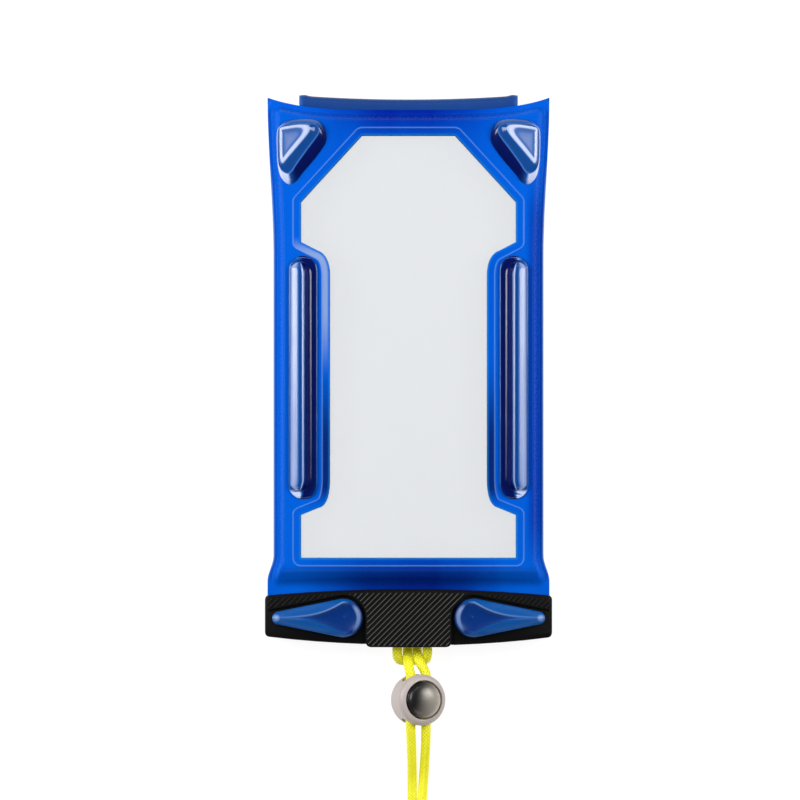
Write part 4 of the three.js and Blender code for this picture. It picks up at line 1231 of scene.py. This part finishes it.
CLAMP_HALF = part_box("clamp_front_bar")[1].x
CLAMP_TOP_MID = 11.5 * MM
CLAMP_TOP_END = 8.9 * MM
GRIP_LOW, GRIP_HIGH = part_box("clamp_grip_plate")
GRIP_RIM = 0.8 * MM
GRIP_CORNER = 2.4 * MM
RIB_PITCH = 1.6 * MM
RIB_HALF = 0.24 * MM
RIB_HEIGHT = 0.4 * MM
RIB_MARGIN = 0.3 * MM
GRIP_TOP = GRIP_HIGH.z - RIB_HEIGHT
LEVER_HEAD = 7.7 * MM
LEVER_TIP = 2.6 * MM
LEVER_REACH = 25.8 * MM
LEVER_POCKET = 1.3 * MM
GRIP_EDGE = 0.2 * MM  # rounding of the plate's top edge
# How much lower the bars' edge lies beside the tab, and where that starts and how it grows
SAG_LEFT, SAG_RIGHT = 0.5 * MM, 0.9 * MM
SAG_BELOW, SAG_DROP = 3 * MM, 6 * MM
SAG_BESIDE, SAG_SPREAD = 8 * MM, 8 * MM


def grip_outline(inset):
    """The grip plate's outline, moved in: a curved top, cut back round both levers, and the tab below."""
    end = CLAMP_HALF - GRIP_RIM - inset
    head, tip = LEVER_HEAD + LEVER_POCKET + inset, LEVER_TIP + LEVER_POCKET + inset
    lean = math.acos((LEVER_HEAD - LEVER_TIP) / LEVER_REACH)
    corner = GRIP_CORNER - inset / 2
    tab_y = GRIP_LOW.y + inset
    half = LEVER_SPREAD - head
    end_y = AXIS_Y + tip * math.sin(lean)
    end_y -= (end - LEVER_SPREAD - LEVER_REACH - tip * math.cos(lean)) * math.tan(math.pi / 2 - lean)
    xs = np.linspace(0, end, 30)
    top = AXIS_Y + CLAMP_TOP_MID - (CLAMP_TOP_MID - CLAMP_TOP_END) * (xs / CLAMP_HALF) ** 2 - GRIP_RIM - inset
    right = [*zip(xs, top), (end, end_y)]
    for angle in np.linspace(lean, math.pi, 40):
        right.append((LEVER_SPREAD + head * math.cos(angle), AXIS_Y + head * math.sin(angle)))
    for t in np.linspace(0, 1, 8):
        right.append((half - corner * t**2, tab_y + corner * (1 - t) ** 2))
    right.append((0, tab_y))
    left = [(-x, y) for x, y in reversed(right[1:-1])]
    return np.array([*right, *left])


def inside(outline, x, y):
    """True where a point lies inside a closed outline."""
    a, b = outline, np.roll(outline, -1, axis=0)
    crossed = (a[:, 1] > y) != (b[:, 1] > y)
    with np.errstate(divide="ignore", invalid="ignore"):
        reach_x = a[:, 0] + (y - a[:, 1]) * (b[:, 0] - a[:, 0]) / (b[:, 1] - a[:, 1])
    return np.count_nonzero(crossed & (reach_x > x)) % 2 == 1


def rib_lines():
    """Middle lines of the ribs, which lean 45 degrees and stop inside the plate's outline."""
    field = grip_outline(RIB_MARGIN + RIB_HALF)
    step = 0.1 * MM
    slant = RIB_PITCH * math.sqrt(2)
    start_x = -math.ceil(2 * CLAMP_HALF / slant) * slant
    low, high = field[:, 1].min(), field[:, 1].max()
    heights = np.arange(low, high, step)
    lines = []
    for i in range(int(-2 * start_x / slant)):
        foot = start_x + (i + 0.5) * slant
        run = []
        for y in heights:
            x = foot + (y - AXIS_Y)
            if inside(field, x, y):
                run.append((x, y))
            elif run:
                lines.append((run[0], run[-1]))
                run = []
        if run:
            lines.append((run[0], run[-1]))
    return [ends for ends in lines if math.dist(*ends) > 2 * RIB_HALF]


def bead_tree():
    """Geometry Nodes that lay a round bead along each line of a mesh."""
    tree = bpy.data.node_groups.new("bead_along_lines", "GeometryNodeTree")
    face = tree.interface
    face.new_socket("Lines", in_out="INPUT", socket_type="NodeSocketGeometry")
    for name in ("Half width", "Height"):
        face.new_socket(name, in_out="INPUT", socket_type="NodeSocketFloat")
    face.new_socket("Sides", in_out="INPUT", socket_type="NodeSocketInt")
    face.new_socket("Finish", in_out="INPUT", socket_type="NodeSocketMaterial")
    face.new_socket("Beads", in_out="OUTPUT", socket_type="NodeSocketGeometry")
    node, link = tree.nodes.new, tree.links.new
    given, made = node("NodeGroupInput"), node("NodeGroupOutput")
    curve, normal = node("GeometryNodeMeshToCurve"), node("GeometryNodeSetCurveNormal")
    normal.mode = "Z_UP"
    circle, squash = node("GeometryNodeCurvePrimitiveCircle"), node("GeometryNodeTransform")
    scale, sweep = node("ShaderNodeCombineXYZ"), node("GeometryNodeCurveToMesh")
    real, paint = node("GeometryNodeRealizeInstances"), node("GeometryNodeSetMaterial")
    circle.inputs["Radius"].default_value = 1.0
    sweep.inputs["Fill Caps"].default_value = True
    link(given.outputs["Lines"], curve.inputs["Mesh"])
    link(curve.outputs["Curve"], normal.inputs["Curve"])
    link(given.outputs["Sides"], circle.inputs["Resolution"])
    link(given.outputs["Half width"], scale.inputs["X"])
    link(given.outputs["Height"], scale.inputs["Y"])
    link(circle.outputs["Curve"], squash.inputs["Geometry"])
    link(scale.outputs["Vector"], squash.inputs["Scale"])
    link(normal.outputs["Curve"], sweep.inputs["Curve"])
    link(squash.outputs["Geometry"], sweep.inputs["Profile Curve"])
    link(sweep.outputs["Mesh"], real.inputs["Geometry"])
    link(real.outputs["Geometry"], paint.inputs["Geometry"])
    link(given.outputs["Finish"], paint.inputs["Material"])
    link(paint.outputs["Geometry"], made.inputs["Beads"])
    return tree


def beads(name, tree, lines, half_width, height, sides, finish):
    """A plain mesh of the beads along some lines of points."""
    points = [p for run in lines for p in run]
    edges, first = [], 0
    for run in lines:
        edges += [(first + i, first + i + 1) for i in range(len(run) - 1)]
        first += len(run)
    guide = bpy.data.meshes.new(name + "_lines")
    guide.from_pydata(points, edges, [])
    holder = bpy.data.objects.new(name + "_lines", guide)
    bpy.context.scene.collection.objects.link(holder)
    modifier = holder.modifiers.new("beads", "NODES")
    modifier.node_group = tree
    given = {"Half width": half_width, "Height": height, "Sides": sides, "Finish": finish}
    for item in tree.interface.items_tree:
        if item.in_out == "INPUT" and item.name in given:
            modifier[item.identifier] = given[item.name]
    graph = bpy.context.evaluated_depsgraph_get()
    mesh = bpy.data.meshes.new_from_object(holder.evaluated_get(graph))
    mesh.name = name
    holder.modifiers.clear()
    bpy.data.objects.remove(holder)
    outward(mesh)
    return mesh


def make_clamp(black, grip, grey, seal, tree):
    """The clamp's two bars, their seals, the levers' shafts and the ribbed grip plate."""
    front = refined("front_bar", "clamp_front_bar", black, "pouch", 0.3 * MM)
    rear = refined("rear_bar", "clamp_rear_bar", black, "pouch", 0.25 * MM)
    for vertex in [*front.data.vertices, *rear.data.vertices]:
        low = smooth_step((AXIS_Y - SAG_BELOW - vertex.co.y) / SAG_DROP)
        far = smooth_step((abs(vertex.co.x) - SAG_BESIDE) / SAG_SPREAD)
        vertex.co.y -= (SAG_RIGHT if vertex.co.x > 0 else SAG_LEFT) * float(low * far)
    for face in ("front", "rear"):
        refined(f"{face}_seal", f"seal_strip_{face}", seal, "pouch", 0.3 * MM)
    for hand in ("left", "right"):
        refined(f"{hand}_shaft", f"cam_shaft_{hand}", grey, f"{hand}_lever", 0.25 * MM)
    rings = [(0, GRIP_LOW.z), (0, GRIP_TOP - GRIP_EDGE)]
    for t in np.linspace(0.3, math.pi / 2, 4):
        rings.append((GRIP_EDGE * (1 - math.cos(t)), GRIP_TOP - GRIP_EDGE * (1 - math.sin(t))))
    grid = []
    for inset, level in rings:
        outline = grip_outline(inset)
        grid.append(np.column_stack([outline, np.full(len(outline), level)]))
    mesh = skin("grip_plate", grid, ends=True)
    smoothed(piece("grip_plate", mesh, grip, "pouch", ["clamp_grip_plate"]))
    lines = [[(x, y, GRIP_TOP) for x, y in ends] for ends in rib_lines()]
    ribs = beads("grip_ribs", tree, lines, RIB_HALF, RIB_HEIGHT, 12, grip)
    piece("grip_ribs", ribs, grip, "pouch")


# Levers

LEVER_LOW, LEVER_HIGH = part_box("lever_right")
LEVER_EDGE = 1.7 * MM
LEVER_DISH = 1.15 * MM
RIDGE_HALF = 6.3 * MM  # ridges either side of the head's middle
RIDGE_FALL = 0.33  # share of the length in which they close in
RIDGE_POWER = 1.2
RIDGE_HEIGHT = 0.2 * MM
FAR_RIM = 5.1 * MM  # where the head's far side starts to fall
FAR_DROP = 0.55 * MM  # far side of the head below the ridges
LEVER_RINGS = 44  # from the middle line to the lip
LIP_SHARE = 0.97
LIP_SLOPE = 9 * MM
SIDE_STOPS = 33


def lever_ring():
    """Points round the teardrop: the place on its middle line, the way out and the half width there."""
    lean = math.asin((LEVER_HEAD - LEVER_TIP) / LEVER_REACH)
    ring = []
    for angle in np.linspace(math.pi / 2 - lean, -math.pi / 2 + lean, 17):
        ring.append((LEVER_REACH, angle, LEVER_TIP))
    for share in np.linspace(1, 0, SIDE_STOPS)[1:-1]:
        ring.append((LEVER_REACH * share, -math.pi / 2 + lean, None))
    for angle in np.linspace(-math.pi / 2 + lean, math.pi / 2 - lean - 2 * math.pi, 49):
        ring.append((0.0, angle, LEVER_HEAD))
    for share in np.linspace(0, 1, SIDE_STOPS)[1:-1]:
        ring.append((LEVER_REACH * share, math.pi / 2 - lean, None))
    made = []
    for along, angle, half in ring:
        half = half or LEVER_HEAD + (LEVER_TIP - LEVER_HEAD) * along / LEVER_REACH
        made.append((along, math.cos(angle), math.sin(angle), half))
    return made


def lever_level(along, across, share):
    """Height of the lever at a place: a rounded side, a ridge and a dish, shallow at the far side."""
    a = max(along, 0.0) / LEVER_REACH
    behind = min(along, 0.0)
    radius = math.hypot(behind, across)
    far = (behind / radius) ** 2 if radius > 0 else 0.0
    ridge = RIDGE_HALF * math.exp(-((a / RIDGE_FALL) ** RIDGE_POWER)) * (1 - far) + FAR_RIM * far
    crest = (LEVER_HIGH.z - LEVER_LOW.z - RIDGE_HEIGHT) * (1 - 0.12 * a) - FAR_DROP * far
    bead = RIDGE_HEIGHT * math.exp(-(((radius - ridge) / (0.6 * MM)) ** 2)) * (1 - far)
    if radius < ridge:
        dish = LEVER_DISH * (1 - float(smooth_step(a / 0.9))) * (1 - 0.65 * far)
        return crest - dish * (1 - (radius / ridge) ** 2.4) + bead
    run = max(radius / max(share, 0.01) - ridge, 0.2 * MM)
    out = min(max(radius - ridge, 0.0) / run, 1.0)
    return crest - (crest - LEVER_EDGE) * out ** (1.8 - 0.6 * far) + bead


def make_lever(name, node, side, body, finish):
    """A twist lever: a teardrop with rounded sides and a thumb dish between ridges that meet at the tip."""
    ring = lever_ring()
    rows = []
    for share in [*np.linspace(1 - LIP_SHARE, LIP_SHARE, LEVER_RINGS), 0.99, 1.0]:
        row = []
        for along, across_x, across_y, half in ring:
            x, y = along + across_x * half * share, across_y * half * share
            level = lever_level(x, y, share)
            if share > LIP_SHARE:
                level = LEVER_EDGE - (share - LIP_SHARE) * LIP_SLOPE
            row.append((x, y, level))
        rows.append(row)
    for inset, level in ((0.0, 0.55 * MM), (0.1 * MM, 0.15 * MM), (0.3 * MM, 0.0)):
        row = []
        for along, across_x, across_y, half in ring:
            row.append((along + across_x * (half - inset), across_y * (half - inset), level))
        rows.append(row)
    grid = np.array(rows) + np.array([LEVER_SPREAD, AXIS_Y, LEVER_LOW.z])
    mesh = skin(name, grid * np.array([side, 1, 1]), ends=True)
    piece(name, mesh, finish, body, [node])


# Cord lock

LOCK_TILT = math.radians(25)
LOCK_X, LOCK_Y = 3.9 * MM, -131.5 * MM
LOCK_RADIUS = 10.25 * MM
LOCK_Z = 10.58 * MM
LOCK_BACK = 7.4 * MM
LOCK_FRONT = 5.6 * MM
LOCK_ROUND = 4.5 * MM
LOCK_LIP = 2.4 * MM  # rounding of its front edge
LOCK_FLOOR = 0.8 * MM
LOCK_BORE = 7.8 * MM
BUTTON_RADIUS = 7.5 * MM
BUTTON_CHAMFER = 0.5 * MM
BUTTON_EDGE = 5.8 * MM
BUTTON_DOME = 2.8 * MM
WEB_LEVEL = -3.2 * MM
SLOT_HALF = 2.1 * MM
SLOT_LEFT, SLOT_RIGHT = -7 * MM, 5.5 * MM
PRESS = joints["lock_button_press"]["range_m"][1]
SPRING_TURNS = 2.5
SPRING_FOOT_RADIUS, SPRING_TOP_RADIUS = 4.6 * MM, 2.2 * MM
SPRING_WIRE = 0.3 * MM  # radius
LATHE_SIDES = 128
HUB = 0.01 * MM  # a turned form's smallest radius, beside its axis


def lathed(name, profile):
    """A closed turned form round +Z from (radius, level) points that start and end on the axis."""
    angles = 2 * np.pi * np.arange(LATHE_SIDES) / LATHE_SIDES
    grid = []
    for radius, level in profile:
        ring = [radius * np.cos(angles), radius * np.sin(angles), np.full(LATHE_SIDES, level)]
        grid.append(np.column_stack(ring))
    return skin(name, grid, ends=True)


def arc(centre, radius, start, end, steps):
    """(radius, level) points round a corner, by angles in degrees."""
    turns = np.radians(np.linspace(start, end, steps))
    return [(centre[0] + radius * math.cos(t), centre[1] + radius * math.sin(t)) for t in turns]


def slotted(mesh, low, high):
    """The mesh with a slot cut through it along Y for the two strands."""
    holder = bpy.data.objects.new("blank", mesh)
    bpy.context.scene.collection.objects.link(holder)
    cutter_mesh = bpy.data.meshes.new("slot")
    made = bmesh.new()
    size = (SLOT_RIGHT - SLOT_LEFT, 6 * LOCK_RADIUS, high - low, 1)
    middle = Matrix.Translation(((SLOT_LEFT + SLOT_RIGHT) / 2, 0, (low + high) / 2))
    bmesh.ops.create_cube(made, size=1, matrix=middle @ Matrix.Diagonal(size))
    long_edges = [e for e in made.edges if abs(e.verts[0].co.y - e.verts[1].co.y) > LOCK_RADIUS]
    rounding = {"offset": 0.9 * (high - low) / 2, "segments": 8, "profile": 0.5, "affect": "EDGES"}
    bmesh.ops.bevel(made, geom=long_edges, **rounding)
    made.to_mesh(cutter_mesh)
    made.free()
    cutter = bpy.data.objects.new("slot", cutter_mesh)
    bpy.context.scene.collection.objects.link(cutter)
    modifier = holder.modifiers.new("slot", "BOOLEAN")
    modifier.object = cutter
    modifier.operation = "DIFFERENCE"
    modifier.solver = "EXACT"
    graph = bpy.context.evaluated_depsgraph_get()
    result = bpy.data.meshes.new_from_object(holder.evaluated_get(graph))
    bpy.data.objects.remove(holder)
    bpy.data.objects.remove(cutter)
    return result


def make_lock(grey, dark, wire, tree):
    """The lock's cup, its sprung button and the spring between them, tilted as the lock lies on its edge."""
    bore_round = 0.35 * MM
    floor_level = -LOCK_BACK + LOCK_FLOOR
    body = [(HUB, -LOCK_BACK), (2 * MM, -LOCK_BACK)]
    body += arc((LOCK_RADIUS - LOCK_ROUND, -LOCK_BACK + LOCK_ROUND), LOCK_ROUND, -90, 0, 14)
    body += [(LOCK_RADIUS, -2 * MM), (LOCK_RADIUS, 1 * MM)]
    body += arc((LOCK_RADIUS - LOCK_LIP, LOCK_FRONT - LOCK_LIP), LOCK_LIP, 0, 80, 14)
    body += arc((LOCK_BORE + bore_round, LOCK_FRONT - bore_round), bore_round, 90, 180, 5)
    body += [(LOCK_BORE, floor_level), (HUB, floor_level)]
    dome = BUTTON_RADIUS - BUTTON_CHAMFER
    button = [(HUB, WEB_LEVEL), (BUTTON_RADIUS - 0.2 * MM, WEB_LEVEL), (BUTTON_RADIUS, WEB_LEVEL + 0.2 * MM)]
    button += [(BUTTON_RADIUS, BUTTON_EDGE - 0.9 * MM), (dome, BUTTON_EDGE - 0.3 * MM)]
    turns = np.linspace(0, math.pi / 2, 20)[:-1]
    button += [(dome * math.cos(t), BUTTON_EDGE + BUTTON_DOME * math.sin(t)) for t in turns]
    button += [(HUB, BUTTON_EDGE + BUTTON_DOME)]
    turn = Matrix.Rotation(LOCK_TILT, 4, "Y")
    cup = slotted(lathed("lock_cup", body), -SLOT_HALF, SLOT_HALF)
    knob = slotted(lathed("lock_knob", button), -SLOT_HALF, SLOT_HALF + PRESS + 0.3 * MM)
    helix = []
    for t in np.linspace(0, 1, 90):
        angle = 2 * math.pi * SPRING_TURNS * t
        radius = SPRING_FOOT_RADIUS + (SPRING_TOP_RADIUS - SPRING_FOOT_RADIUS) * t
        level = floor_level + 2 * SPRING_WIRE + t * (WEB_LEVEL - floor_level - 4 * SPRING_WIRE)
        helix.append((radius * math.cos(angle), radius * math.sin(angle), level))
    spring = beads("button_spring", tree, [helix], SPRING_WIRE, SPRING_WIRE, 10, wire)
    shift = Matrix.Translation((LOCK_X, LOCK_Y, LOCK_Z))
    for mesh in (cup, knob, spring):
        mesh.transform(shift @ turn)
    smoothed(piece("lock_cup", cup, grey, "pouch", ["lock_body"]))
    smoothed(piece("lock_knob", knob, dark, "button", ["lock_button"]))
    coil = piece("button_spring", spring, wire, "pouch", ["lock_spring"])
    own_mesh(coil)


# The whole pouch

blue = film_blue()
cushion = cushion_blue("cushion_blue", 0.13, 0.35)
bumper = cushion_blue("bumper_blue", 0.45, 0.0)
clear = clear_film()
black = moulded("clamp_black", (0.0016, 0.0016, 0.0018), 0.4, Specular_IOR_Level=0.15)
lever = lever_blue()
grey = moulded("lock_grey", (0.46, 0.4, 0.375), 0.42, 1500, 0.025 * MM)
shaft = moulded("shaft_grey", (0.2, 0.21, 0.22), 0.35, 900, 0.01 * MM)
seal = moulded("seal_grey", (0.035, 0.037, 0.042), 0.75)
yellow = braided_yellow()
bead_nodes = bead_tree()

set_camera()
neck_cord, bail_hitch, cord_path, cord_length = make_cord(yellow)
make_film(blue)
make_window("front_clear_window", "front_window", clear)
make_window("rear_clear_window", "rear_window", clear)
for side, name in ((1, "right"), (-1, "left")):
    make_side_cushion(f"side_air_cushion_{name}", f"side_cushion_{name}", side, cushion)
    make_corner_cushion(f"corner_air_cushion_{name}", f"corner_cushion_{name}", side, cushion)
    make_lever(f"twist_lever_{name}", f"lever_{name}", side, f"{name}_lever", lever)
make_bumper(bumper)
make_clamp(black, ribbed_black(), shaft, seal, bead_nodes)
make_lock(grey, button_metalled(), drawn_wire(), bead_nodes)
tie = refined("coil_strap", "coil_tie", looped_tape(), "pouch", 0.15 * MM)
set_light()
lay_floor()
